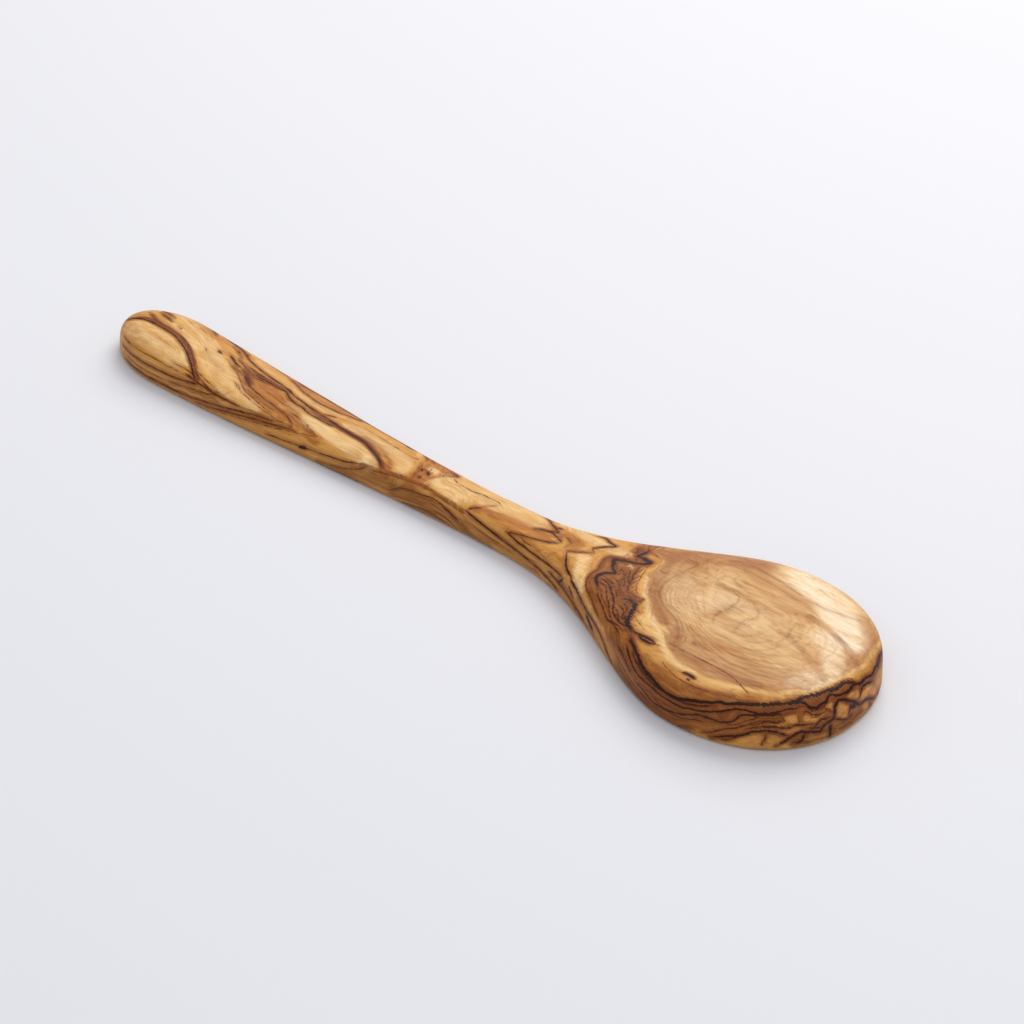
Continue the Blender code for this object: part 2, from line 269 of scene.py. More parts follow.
BURL_VEINS = (
    Vein(1.15, 1, (212.1, 12.7, 213.4, 10.7, 212.8, 9.2, 211.8, 7.1, 213.2, 7.1, 214.5, 7.2, 217.9, 6.8,
        216.3, 5.2, 214.5, 4.1, 211, 3, 209, 2.3, 207.1, 1.7, 208.4, -0.1, 209.5, -1.9, 211.9, -3.5,
        209.5, -5.4, 208.2, -7.2, 208.6, -8.9, 210.6, -10.7, 212.8, -12.5), level=10, rise=0.8),
    Vein(1.5, 1, (212.2, 7.3, 214.6, 7.1, 217.6, 6.8, 216, 5.4)),
    Vein(0.7, 0.8, (209.2, 11, 210, 10.2, 210.6, 9.2, 210.2, 8.4, 211.6, 7.6)),
    Vein(0.6, 0.85, (212.6, -12.4, 214.5, -15.1, 217.6, -17.1, 220.7, -19.5, 222.9, -21.1, 226.4, -22.2,
        228.7, -23.5, 231, -25.4)),
    Vein(0.65, 0.95, (208.8, -8.4, 210.6, -8.1, 212.8, -8.5, 215.4, -10, 217.6, -12, 219.4, -13.6, 221.1, -16,
        222.9, -18.4, 224.7, -19.7, 228.2, -21.1, 232.6, -21.7)),
    Vein(0.55, 0.8, (210.1, -6.9, 213.2, -7.6, 215.4, -8.7, 218.1, -10.5, 219.8, -12.5, 221, -14.2)),
    Vein(0.55, 0.85, (209.4, -9.6, 213.2, -10, 215, -11.6, 217.2, -14.2, 219.4, -16, 222, -19.1, 224.7, -21.3,
        228, -22, 231, -23.8)),
    Vein(0.5, 0.75, (212, -5.2, 215.4, -6.3, 217.6, -8.9, 219.4, -10.2, 220.7, -12.5)),
    Vein(0.5, 0.7, (211, -11.6, 213.6, -12.4, 215.4, -14.4, 217.6, -16, 220, -17.4, 222, -20)),
    Vein(0.6, 0.65, (212, 4.4, 207.5, 3.1, 204.9, 1.2, 204.9, -0.5, 205.7, -3.2, 206.6, -5.4, 206.2, -8,
        206.6, -10.7, 208.4, -13.3, 212.8, -16.2, 216.3, -18.8, 221, -21.8), level=7.4, rise=0.8),
    Vein(0.55, 0.8, (214.5, 0.2, 216.7, -3.2, 218.9, -5.8, 220.7, -8.5, 223.8, -8.9, 226.7, -8.9)),
    Vein(0.55, 0.8, (215, 3.9, 216.3, 2.6, 216.6, 0.6, 217, -1.4, 218.3, -3.6, 218.5, -5.4, 219.8, -7.2,
        221.4, -8.7)),
    Vein(0.5, 0.65, (210.8, 0.6, 212.6, -0.6, 214, -2.2, 215.2, -3.8, 216.8, -5.2, 218.4, -7.4)),
    Vein(1.3, 1, (212.2, -0.9, 213, -1.1)),
    Vein(1.1, 0.95, (207.6, 1.4, 208.6, 0.2, 209.6, -0.5)),
    Vein(1.2, 0.95, (209.8, -5.2, 208.8, -6.6, 208.4, -8, 208.8, -9.2)),
    Vein(0.4, 0.85, (212.6, 6.6, 213, 5.4, 213.4, 4.2)),
    Vein(0.4, 0.85, (214, 0.8, 215.4, -0.4, 215.8, -2, 217, -3.2, 218.6, -4)),
    Vein(0.4, 0.8, (213.6, -0.2, 214.6, -1.6, 215.4, -3.4, 216.6, -5, 217.4, -6.6, 219, -8.6)),
    Vein(0.4, 0.8, (216.4, -0.6, 217.4, -2.4, 218.4, -3.2, 219.2, -3.4)),
    Vein(0.45, 0.85, (221.2, -10.2, 222.6, -9.9, 224, -10.4, 225, -11.4)),
    Vein(0.45, 0.85, (221, -11.6, 221.6, -10.8, 222.8, -11.6, 223.4, -12.6, 225, -12.8)),
    Vein(0.4, 0.8, (222.6, -18.2, 224.4, -18.6, 226.2, -20.2, 228.4, -21.2)),
    Vein(0.6, 0.9, (225.4, -8.9, 226.6, -8.7, 227.2, -9.4)),
    Vein(1.2, 0.9, (215.1, -4.4, 215.9, -4.8)),
    Vein(0.9, 0.95, (220.7, -12.7, 222, -11.6, 223.3, -11.1, 224.7, -11.6, 226, -12.6)),
    Vein(0.6, 0.85, (220.9, -13.4, 222.6, -13.2, 224.7, -14.2, 225.8, -15.3, 227, -17.4), level=13.5),
    Vein(0.6, 0.85, (221.1, -14.9, 223.8, -15.1, 225.6, -16.9, 226.9, -19.5, 228.6, -20.8)),
    Vein(0.55, 0.8, (221.8, -16.6, 223.8, -17.2, 225.4, -18.8, 227, -20.4)),
    Vein(1.6, 1.1, (224.2, -10.4, 226, -11.6, 226.7, -13.3, 227.8, -16, 228.4, -18.2, 229.4, -19.8,
        230.8, -21, 233.8, -21.8)),
    Vein(0.6, 0.9, (226.2, -10.2, 227.4, -9.5)),
    Vein(0.6, 0.8, (227.6, -13.9, 229.2, -14.2)),
    Vein(0.55, 0.8, (227.8, -16.2, 229.2, -16.4)),
    Vein(0.6, 0.8, (228.6, -18.1, 230.2, -18.2)),
    Vein(0.6, 0.8, (229.8, -19.4, 231.3, -19.6)),
    Vein(level=17, rise=0.9, top=(216.2, 4.6, 216.2, 2, 216.8, 0, 217.8, -2.6, 218.8, -5, 220.2, -7,
        222.4, -8.4, 226, -9.4, 227, -12, 227.6, -14.5, 228.4, -17.5, 229.8, -20, 231.4, -21.8, 233.7, -23.3,
        237, -26.5, 241.2, -29.3, 246.3, -32.4, 252.4, -34.5, 260.3, -35.2, 267.3, -33.5, 274.8, -30.3,
        282.7, -25.4, 287.4, -21.4), side=(304, 14.6, 312, 14.2, 320, 14, 331, 13.8, 338, 12.9, 346, 12.2,
        354, 10.8, 362, 8, 372, 4)),
    Vein(1.1, 1, (233.7, -23.3, 234.7, -25.1, 237, -26.5, 238.9, -27.9, 241.2, -29.3, 243.5, -31,
        246.3, -32.4, 249.6, -33.5, 252.4, -34.5, 256.1, -35.2, 260.3, -35.2, 263.6, -34.5, 267.3, -33.5,
        270.1, -32.4, 272, -31.2, 274.8, -30.3, 276.7, -28.9, 279.5, -27.5, 282.7, -25.4, 285.1, -23.3,
        287.4, -21.4, 289.8, -17.9, 291, -15.2, 293, -12.2, 294.1, -9.2, 295.6, -6, 295.8, -3, 297.2, -0.5,
        298.4, 1.6)),
    Vein(0.7, 0.85, side=(246, 11.8, 250, 11.2, 255, 10.6, 261, 10.1, 268, 9.9, 275, 10.1, 280, 11.2,
        285, 12.7)),
    Vein(0.95, 1, side=(303, 14.6, 308.3, 14.5, 311.1, 14.6, 312.6, 14.3, 313.8, 13.4, 316, 12.9, 317.5, 13.5,
        319.4, 13.5, 320.9, 14.4, 322.4, 14.4, 324, 13.7, 327.4, 13.4, 329, 13.3, 331.4, 13.9, 333, 13.3,
        334.3, 12.9, 336, 13.1, 338, 12.9, 339.4, 12.2, 341, 12, 343.2, 12.5, 344.6, 12.1, 348, 12.3,
        350, 12.2, 352, 11.3, 354.4, 10.2, 357, 8, 359.4, 5, 361, 2)),
    Vein(1.3, 0.9, side=(343, 11.6, 346, 11.6, 349, 12, 351.4, 11.4, 353.4, 10.6)),
    Vein(level=12, top=(213, 0, 214.5, -5, 217, -9, 220, -13, 223, -17)),
)
BORDER_VEINS = (
    Vein(0.3, 0.55, (217.9, 4.9, 218.5, 3, 219, 0.3, 220, -2.3, 221.1, -5, 222.9, -7.2, 225.4, -8.6)),
    Vein(0.25, 0.5, (228, -16, 230.5, -17, 233, -18.5, 236, -20, 240, -21, 244.5, -21.2)),
    Vein(0.2, 0.5, (227, -10.8, 228.6, -13.4, 229.4, -15.2)),
    Vein(0.8, 1.3, (230.4, -21, 232.6, -21.9, 236, -22.4, 238.6, -22.2, 240.6, -22.3, 242.8, -23.1)),
    Vein(0.8, 1.3, (235.4, -22.8, 237.6, -23.3, 239.6, -23.7, 241.4, -23.6, 242.8, -23.1)),
    Vein(0.55, 1.3, (255.8, -28.3, 257.4, -28.1, 258.8, -27.9, 260.2, -28.3, 262, -28.6)),
    Vein(0.4, 0.9, (258.8, -29.4, 260.4, -29.9)),
    Vein(0.22, 0.85, (243, -20.2, 250, -20.8, 258, -21, 264, -21.2, 270, -22, 274, -23.4, 279.5, -25.2)),
    Vein(0.3, 0.6, (248, -27.4, 251, -29, 256, -30.7, 263, -31, 270, -29.6, 276, -28, 281, -26)),
    Vein(0.5, 0.8, (298.9, 2.6, 299, 5, 298.8, 8)),
    Vein(level=20.4, top=(214.5, 12.4, 218, 12.3, 221.4, 11.6, 219.5, 15.5, 226, 19, 232, 22.5)),
    Vein(level=19.2, rise=0.35, top=(219.9, 9.6, 219.9, 7, 219.9, 4, 220.5, 1, 223, -3, 227, -7.5, 232, -12.5,
        238, -16.5, 243, -20, 247, -23, 251, -25.5, 258, -26.8, 266, -26.2, 273, -24.5, 279, -22, 285, -19,
        289, -14.5, 291.5, -10, 293.5, -4, 295, 2, 295, 10)),
)
BACK_VEINS = (
    Vein(0.45, 0.22, (224, 18.5, 227.5, 16.5, 229.3, 14, 228.7, 11, 228, 8, 227.2, 5, 226.8, 2, 227.5, -1,
        229, -3.6, 231.5, -6.1, 234, -8, 237, -9.3, 240, -10.3, 242, -11.6, 244, -13.7, 245.6, -16.2,
        246.6, -18.7, 247, -21.2), level=20),
    Vein(0.35, 0.22, (240.4, -9.9, 243, -11.3, 245.6, -14.3, 247.2, -17, 248, -19.6)),
    Vein(0.35, 0.19, (225.4, 8, 224.9, 3, 225.6, -1, 228, -5, 231, -8, 235, -10.6)),
    Vein(0.45, 0.24, (238.4, 10.4, 241, 10.8, 243.4, 10.2, 245.5, 10.6, 248, 9.8, 249.8, 8.3, 250.2, 6,
        250, 3.5, 249.7, 1.5, 248.7, 0, 248.7, -2, 249.3, -4, 250, -5.5, 251.6, -6.2), level=22.8),
    Vein(0.35, 0.25, (238.4, 10.6, 239.4, 13.8, 239, 16.4)),
    Vein(0.35, 0.22, (242.8, 18.4, 242.5, 16, 243, 14, 246.4, 13.8, 250, 14.4)),
    Vein(0.45, 0.21, (250, 9.5, 252.5, 9.5, 254, 9.8, 255, 8.4, 257, 7.6, 258.6, 6, 259.3, 4, 258.4, 2.4,
        257, 1, 257, -1.5, 257.4, -4, 258, -6.6)),
    Vein(0.4, 0.22, (270, 10.4, 270.3, 7, 271, 4, 271.6, 2, 271, -1, 271.8, -4.4)),
    Vein(0.35, 0.19, (275, 12, 274.6, 9, 275.4, 6)),
    Vein(0.5, 0.27, (238, 24.8, 248, 23.6, 256, 22.4, 262, 21, 268, 20, 273, 19.6, 279, 20.8, 283, 22,
        283.6, 24.4)),
    Vein(0.35, 0.22, (236, 22, 246, 21, 256, 19.6, 266, 17.6)),
    Vein(0.35, 0.22, (249, -7.6, 256, -8.8, 264, -9.6, 271, -8.6, 277, -5)),
    Vein(0.35, 0.25, (244, -10.6, 252, -12.6, 260, -13.8, 268, -13.8, 276, -12.4, 284, -8.4)),
    Vein(0.35, 0.25, (250, -14.8, 258, -16.6, 266, -17.4, 274, -16.8, 282, -14.6)),
    Vein(0.35, 0.22, (250, -18.6, 258, -19.6, 268, -19.6, 277, -18.4)),
    Vein(level=21, top=(233, 22, 233, 16, 231, 8, 232, 1, 236, -5, 243, -8.5, 250, -12.5, 257, -15.5,
        265, -17, 275, -15, 284, -10, 288, -2, 288, 6, 284, 14, 279, 20.3, 273, 19, 266, 20, 258, 21.5,
        250, 23, 240, 24.5)),
    Vein(level=22, top=(238, 10.3, 236, 4, 239, -1, 245, -6.5, 253, -10, 262, -11, 270, -9, 276, -3, 277, 4,
        274, 10, 266, 14, 256, 16, 246, 15)),
)
BOWL_WALL_VEINS = (
    Vein(0.7, 0.95, level=15.1, side=(243.3, 11.5, 246.7, 10.9, 249.7, 10.2, 252.7, 9.4, 256, 8.9, 262.7, 9,
        266, 8.5, 273.7, 8.5, 276.7, 9.2, 279.3, 9.7, 282.7, 10.5, 286, 11.4, 288.4, 12.2, 290.5, 12.8,
        293.6, 13, 297.9, 12.6, 302.2, 13, 307, 13.7, 310.2, 13.7, 311.7, 14.1)),
    Vein(0.7, 0.85, side=(240.5, 9.8, 245.3, 9.5, 247.7, 8.9, 250, 8.2, 251.5, 7.2, 254, 6.2)),
    Vein(0.5, 0.6, side=(246, 9.4, 251, 8.4, 256, 7.2, 262, 6.9, 268, 6.6, 274, 6.6, 279, 7.4)),
    Vein(0.75, 0.9, level=12.2, side=(252.7, 6.2, 258.7, 5.9, 261, 5.2, 263.3, 4.4, 266, 4.5, 269, 4.9,
        272, 5.5, 274.7, 6.2, 277, 7.5, 279.7, 8.5, 283, 8.7, 286.7, 8.4, 290, 9.4, 291.4, 10.6, 292.1, 11.7,
        296.7, 12.3, 302.2, 12.6, 306.5, 12.9)),
    Vein(0.5, 0.8, side=(242, 7.2, 247, 6, 252, 4.6, 257.3, 4.2, 261.3, 3.5, 265.3, 3.2, 269.3, 2.5)),
    Vein(0.5, 0.8, side=(261, 6.8, 265, 5.8, 270, 4.4, 275, 4.8, 279, 6.4, 284, 7.2)),
    Vein(0.55, 0.8, side=(243, 5.4, 246, 4.2, 250, 3.2, 255, 2.4)),
    Vein(0.45, 0.7, side=(285, 10.9, 287, 9.6, 289.6, 8.3, 291.4, 8.8, 293, 9.8, 295.1, 10.9, 297.3, 11.7,
        300, 11.8)),
    Vein(0.5, 0.8, side=(279.3, 1.9, 282, 2.9, 284.3, 4, 286.7, 5.6, 289, 6.8, 291.1, 7.4, 292.7, 8.4,
        294.2, 9.2, 296, 9.7, 297.3, 10.4, 298.8, 11, 301, 11, 302.5, 10.6, 304, 11, 305.6, 10.4, 306.5, 10)),
    Vein(0.85, 0.95, level=9, side=(283.7, 1.9, 285.6, 2.7, 287.5, 3.4, 289.9, 4.3, 292.4, 4.9, 294.5, 6,
        296, 7.1, 297.9, 7.5, 299.4, 7.7, 301, 7.7, 302.8, 7.5, 304.3, 6.9, 305.9, 6, 307.7, 5.5)),
    Vein(0.5, 0.8, side=(286, 1.9, 289.6, 2.8, 291.6, 4.2, 293.4, 5.2)),
    Vein(0.6, 0.85, side=(296.2, 9.4, 298.8, 9.2, 302.8, 9.1, 304.6, 8.9, 306.5, 8.6, 308.9, 9.4, 311.1, 9,
        313.8, 8.8, 315.1, 8.2)),
    Vein(0.5, 0.8, side=(300, 7.4, 300.3, 5.8, 299.7, 4.3, 299.1, 2.8, 299.4, 1.6)),
    Vein(1, 1, side=(303.4, 2.2, 304.6, 3.1, 306.5, 4.3, 307.7, 5.4, 309.2, 6.3, 310.8, 6.9, 311.7, 6.1,
        313.8, 6, 315.4, 5.2, 316.9, 4.9, 317.2, 6.5, 318.7, 7.4, 320.6, 7.5, 321.5, 8.6, 321.5, 10.1,
        321.5, 11.4, 322.4, 12.4, 324, 12.8, 325.8, 12.1, 327.6, 10.8, 329.2, 9.8, 330.4, 8.9, 331.2, 7.6,
        332, 6.8, 333.6, 6.7, 334.9, 6.8, 336.4, 6.2, 337.6, 5.3, 339, 4.3, 340.6, 3.2, 342.4, 1.8)),
    Vein(0.9, 1, side=(331, 9.3, 332, 9.8, 332.5, 10.5, 333, 11.2, 333.9, 12, 335.2, 11.9, 336.6, 11.6,
        338, 11.1, 339.2, 10.5, 340.4, 9.8)),
    Vein(0.6, 0.9, side=(337.4, 4.6, 337.8, 3.2, 339, 2)),
    Vein(0.8, 0.9, side=(343, 2.4, 344.6, 1.8, 346.4, 0.9)),
    Vein(0.35, 0.8, side=(322, 15, 326, 15.2, 330, 15.1)),
    Vein(1.05, 0.95, side=(311.2, 6.1, 311.4, 4.2, 310.5, 3.1, 308.6, 2.5)),
    Vein(0.65, 0.9, side=(313.8, 6.8, 315.1, 7.7, 315.7, 8.9, 317.5, 9.5, 318.7, 8.6, 319.6, 7.6)),
    Vein(0.8, 0.9, side=(320.9, 7.4, 322.7, 6.9, 324.3, 5.7, 326.1, 5.2, 327.5, 4.3)),
    Vein(0.8, 0.9, side=(327.7, 10.4, 327.6, 8.6, 327.2, 6.8, 326.6, 5.4)),
    Vein(2, 1, side=(327.8, 9.2, 328.8, 8.4, 330.6, 7.6)),
    Vein(0.9, 0.85, side=(312.6, 7.2, 314.4, 7, 316.4, 6.8, 317.6, 6.2)),
    Vein(0.5, 0.85, side=(314.8, 8.6, 316.2, 9.7, 318.2, 9.4, 320, 8.9, 321.4, 9)),
    Vein(0.7, 0.9, side=(325.4, 5.2, 327, 4.8, 328.4, 5.4, 328.8, 6.6)),
    Vein(0.45, 0.8, side=(295, 8.6, 297, 9.6, 299.2, 10.6, 302, 10.5, 305.6, 10.8)),
    Vein(0.4, 0.8, side=(292.6, 7, 295.4, 8.2, 298, 9, 300.4, 9.6, 303, 9.4, 306, 9)),
    Vein(0.6, 0.85, side=(307.8, 3.4, 309.4, 2.8, 311, 3.6)),
    Vein(0.4, 0.8, side=(304, 14, 309, 14.2, 312, 13.8, 315, 12.4, 318, 12.8, 321, 13.6)),
    Vein(1.3, 1, side=(319.7, 6.6, 320.1, 4.6, 320, 2.8, 320.1, 1.2)),
    Vein(0.6, 0.8, side=(311.2, 11.6, 311.6, 12.8, 312.8, 12.7, 314.1, 11.5, 316, 11, 318, 11.6)),
    Vein(0.45, 0.7, side=(318, 12.4, 319.6, 11.4, 320.8, 10.4)),
    Vein(0.45, 0.7, side=(303.6, 12.2, 305.2, 11.6, 306, 10.4)),
    Vein(0.5, 0.75, side=(309.4, 12.4, 310, 11, 309.4, 9.8)),
    Vein(0.45, 0.7, side=(312.4, 8, 314, 7.2, 315.6, 6.6)),
    Vein(0.5, 0.7, side=(322.6, 3.2, 325, 2.6, 328, 3, 331.5, 4)),
)
FAR_WALL_VEINS = (
    Vein(0.5, 0.8, side=(368, 10, 376, 8.8, 388, 8.2, 400, 8.8, 412, 9.8, 424, 9.8, 434, 8.4)),
    Vein(0.4, 0.7, side=(374, 5.4, 386, 4.6, 398, 4.4, 412, 5.4, 424, 5.6, 438, 4.4, 448, 3)),
    Vein(0.9, 0.9, side=(443, 11.4, 441, 9.4, 437, 7.4, 432, 5.4, 425, 3.4, 417, 2)),
    Vein(0.5, 0.8, side=(450, 9, 446, 7, 441, 4.8, 434, 3)),
    Vein(0.6, 0.95, side=(460.5, 9.8, 465, 8.4, 474, 6.8, 486, 5.6, 498, 4.2, 508, 3)),
    Vein(0.4, 0.85, side=(482, 7.2, 488, 7, 497, 6.6, 508, 6, 516, 5.2)),
    Vein(0.4, 0.8, side=(531, 6.8, 534, 5.9, 540, 5, 551, 4.4, 562, 3.2)),
    Vein(0.6, 0.85, side=(538, 6.7, 545, 6.3, 556, 5.8, 570, 5.2, 584, 4.6, 598, 4)),
    Vein(0.4, 0.8, side=(558, 6.7, 567, 6.6, 580, 6.3, 596, 6.2, 610, 5.6)),
    Vein(0.5, 0.9, side=(598, 6.9, 606, 6.9, 616, 6.8, 628, 6.6, 640, 6)),
    Vein(0.7, 0.85, side=(626, 8.2, 634, 8.2, 642, 8, 650, 7.6)),
    Vein(0.4, 0.7, side=(568, 2.8, 590, 2.6, 612, 3.4, 632, 3.8, 646, 4.6)),
)
VEINS = (BUTT_VEINS + GRIP_VEINS + KNOT_VEINS + NECK_VEINS + BURL_VEINS + BORDER_VEINS + BACK_VEINS
         + BOWL_WALL_VEINS + FAR_WALL_VEINS)


@dataclass
class LadleForm:
    """The ladle's form: the same outline, back and hollow as the solid, divided more finely. Metres."""

    handle_length: float = 0.165
    bowl_length: float = 0.135
    butt_length: float = 0.0245
    tip_length: float = 0.042
    grip_at: float = 0.070
    shoulder_length: float = 0.063
    crown_setback: float = 0.0355
    handle_width: float = 0.028
    neck_width: float = 0.0165
    bowl_width: float = 0.0725
    butt_height: float = 0.0135
    grip_height: float = 0.0089
    neck_height: float = 0.0094
    bowl_height: float = 0.0148
    tip_height: float = 0.0176
    flare: float = 1.5
    tip_fullness: float = 2.15
    handle_squareness: float = 3.6
    bowl_squareness: float = 5.0
    edge_radius: float = 0.0015
    rim_width: float = 0.0050
    floor_thickness: float = 0.0045
    hollow_setback: float = 0.043
    hollow_end_length: float = 0.034
    hollow_roundness: float = 2.3
    lip_radius: float = 0.0012
    row_spacing: float = 0.0007
    butt_rows: int = 53
    tip_rows: int = 102
    hollow_end_rows: int = 40
    dish_columns: int = 12
    lip_columns: int = 4
    rim_columns: int = 5
    edge_columns: int = 4
    section_columns: int = 64
    section_samples: int = 401

    @property
    def length(self) -> float:
        """The whole ladle, butt to tip."""
        return self.handle_length + self.bowl_length

    @property
    def widest_at(self) -> float:
        """Butt to the widest place of the bowl."""
        return self.length - self.tip_length

    @property
    def crown_end(self) -> float:
        """Butt to the point from which the end of the bowl fans out."""
        return self.length - self.crown_setback

    @property
    def hollow_start(self) -> float:
        """Butt to the hollow."""
        return self.handle_length + self.hollow_setback

    @property
    def hollow_full_at(self) -> float:
        """Butt to where the hollow's rounded end is over and its full width begins."""
        return self.hollow_start + self.hollow_end_length

    def plain_half_width(self, x: np.ndarray) -> np.ndarray:
        """Half the width at x where neither end rounds it off."""
        handle = ease((self.handle_length - x) / (self.handle_length - self.butt_length))
        bowl = ease((x - self.handle_length) / (self.widest_at - self.handle_length)) ** self.flare
        handle_gain = (self.handle_width - self.neck_width) * handle
        return (self.neck_width + handle_gain + (self.bowl_width - self.neck_width) * bowl) / 2

    def inner_half_width(self, x: np.ndarray, inset: float | np.ndarray) -> np.ndarray:
        """The same half width, drawn in square to the outline by the inset."""
        step = 1e-4
        slope = (self.plain_half_width(x + step) - self.plain_half_width(x - step)) / (2 * step)
        return self.plain_half_width(x) - inset * np.hypot(1.0, slope)

    def back_height(self, x: np.ndarray) -> np.ndarray:
        """Height of the back along the axis, a smooth curve through the butt, grip, neck, bowl and tip."""
        places = np.array([0.0, self.grip_at, self.handle_length, self.widest_at, self.length])
        heights = np.array([self.butt_height, self.grip_height, self.neck_height, self.bowl_height,
                            self.tip_height])
        spans = np.diff(places)
        slopes = np.empty(len(places))
        slopes[1:-1] = (heights[2:] - heights[:-2]) / (places[2:] - places[:-2])
        slopes[0] = (heights[1] - heights[0]) / spans[0]
        slopes[-1] = (heights[-1] - heights[-2]) / spans[-1]
        span = np.clip(np.searchsorted(places, x, side="right") - 1, 0, len(spans) - 1)
        length = spans[span]
        share = np.clip((x - places[span]) / length, 0.0, 1.0)
        rise = heights[span] + (heights[span + 1] - heights[span]) * ease(share)
        lean_in = length * slopes[span] * share * (1.0 - share) ** 2
        lean_out = length * slopes[span + 1] * share * share * (share - 1.0)
        return rise + lean_in + lean_out

    def middle_places(self) -> np.ndarray:
        """Places of the rows straight across, crowded where the hollow begins."""
        before = self.hollow_start - self.lip_radius
        handle_rows = round((before - self.butt_length) / self.row_spacing)
        bowl_rows = round((self.widest_at - self.hollow_full_at) / self.row_spacing)
        end_turns = turns_to_quarter(self.hollow_end_rows)
        return np.concatenate([
            np.linspace(self.butt_length, before, handle_rows, endpoint=False),
            before + self.lip_radius * np.sin(turns_to_quarter(self.lip_columns)),
            self.hollow_start + self.hollow_end_length * (1.0 - np.cos(end_turns)),
            np.linspace(self.hollow_full_at, self.widest_at, bowl_rows, endpoint=False),
        ])

    def tip(self, inset: float) -> tuple[np.ndarray, np.ndarray]:
        """The rows round the tip, drawn in by the inset. Returns their x and y."""
        turns = np.linspace(0.0, QUARTER, self.tip_rows)
        share = np.maximum(1.0 - np.sin(turns) ** self.tip_fullness, 0.0) ** (1 / self.tip_fullness)
        share[-1] = 0.0
        x = self.widest_at + (self.tip_length - inset) * np.sin(turns)
        return x, (self.bowl_width / 2 - inset) * share

    def outline(self, inset: float) -> np.ndarray:
        """The ladle's outline drawn in by the inset, x and y for each row from butt to tip."""
        turns = turns_to_quarter(self.butt_rows)
        butt_x = inset + (self.butt_length - inset) * (1.0 - np.cos(turns))
        butt = butt_x, self.inner_half_width(butt_x, inset) * np.sin(turns)
        middle_x = self.middle_places()
        middle = middle_x, self.inner_half_width(middle_x, inset)
        return np.concatenate([butt, middle, self.tip(inset)], axis=1).T

    def mouth(self, widening: float) -> np.ndarray:
        """The hollow's mouth, or wider all round by the widening. Rows before it stay on the axis."""
        inset = self.rim_width - widening
        butt = np.full(self.butt_rows, self.butt_length), np.zeros(self.butt_rows)
        middle_x = self.middle_places()
        share = np.clip((self.hollow_full_at - middle_x) / (self.hollow_end_length + widening), 0.0, 1.0)
        middle = middle_x, self.inner_half_width(middle_x, inset) * np.sqrt(1.0 - share**2)
        return np.concatenate([butt, middle, self.tip(inset)], axis=1).T

    def lip_height(self, widening: np.ndarray) -> np.ndarray:
        """Height of the rounded lip where the mouth is wider by the widening."""
        share = 1.0 - np.clip(widening / self.lip_radius, 0.0, 1.0)
        return self.lip_radius * (1.0 - np.sqrt(1.0 - share**2))

    def front_columns(self) -> list[np.ndarray]:
        """Lines of points from the middle of the front out to its edge: dish, lip and rim."""
        edge_x, edge_y = self.mouth(0.0).T
        spine_x = np.minimum(edge_x, self.crown_end)
        along = np.clip((self.hollow_full_at - edge_x) / self.hollow_end_length, 0.0, 1.0)
        before = np.maximum(self.hollow_start - edge_x, 0.0)
        columns = []
        for out in np.sin(turns_to_quarter(self.dish_columns)):
            x = spine_x + (edge_x - spine_x) * out
            reach = np.sqrt(along**2 + (1.0 - along**2) * out**2)
            roof = self.back_height(x) - self.floor_thickness
            depth = np.maximum(1.0 - reach**self.hollow_roundness, 0.0) ** (1 / self.hollow_roundness)
            inside = self.lip_radius + (roof - self.lip_radius) * depth
            height = np.where(before > 0, self.lip_height(before), inside)
            columns.append(np.stack([x, edge_y * out, height], -1))
        for turn in np.linspace(QUARTER, 0.0, self.lip_columns, endpoint=False):
            widening = self.lip_radius * (1.0 - math.sin(turn))
            lip = self.lip_height(np.maximum(before, widening))
            columns.append(np.column_stack([self.mouth(widening), lip]))
        inner, outer = self.mouth(self.lip_radius), self.outline(self.edge_radius)
        for share in np.linspace(0.0, 1.0, self.rim_columns, endpoint=False):
            columns.append(np.column_stack([inner + (outer - inner) * share, np.zeros(len(inner))]))
        return columns

    def round_edge(self) -> list[np.ndarray]:
        """Lines of points round the small radius between the front and the wall."""
        columns = []
        for turn in turns_to_quarter(self.edge_columns):
            ring = self.outline(self.edge_radius * (1.0 - math.sin(turn)))
            height = self.edge_radius * (1.0 - math.cos(turn))
            columns.append(np.column_stack([ring, np.full(len(ring), height)]))
        return columns

    def back_columns(self) -> list[np.ndarray]:
        """Lines of points from the edge up the wall and over the back to the axis, evenly spaced."""
        edge = self.outline(0.0)
        spine_x = np.clip(edge[:, 0], self.butt_length, self.crown_end)
        bowl_share = ease((edge[:, 0] - self.handle_length) / self.shoulder_length)
        squareness = self.handle_squareness + (self.bowl_squareness - self.handle_squareness) * bowl_share
        turns = np.linspace(0.0, QUARTER, self.section_samples)
        across, up = np.cos(turns).round(9), np.sin(turns)
        rows = []
        for (edge_x, edge_y), spine, power in zip(edge, spine_x, squareness):
            reach = (across**power + up**power) ** (-1 / power)
            x = spine + (edge_x - spine) * reach * across
            z = self.edge_radius + (self.back_height(x) - self.edge_radius) * reach * up
            curve = np.stack([x, edge_y * reach * across, z], -1)
            even = np.linspace(0.0, lengths_along(curve)[-1], self.section_columns + 1)
            rows.append(places_along(curve, even))
        return list(np.stack(rows, 1))

    def skin(self) -> np.ndarray:
        """Half the ladle's whole skin as a grid of points, columns from the front's middle to the back's."""
        points = np.stack(self.front_columns() + self.round_edge() + self.back_columns())
        return points - (self.length / 2, 0.0, 0.0)


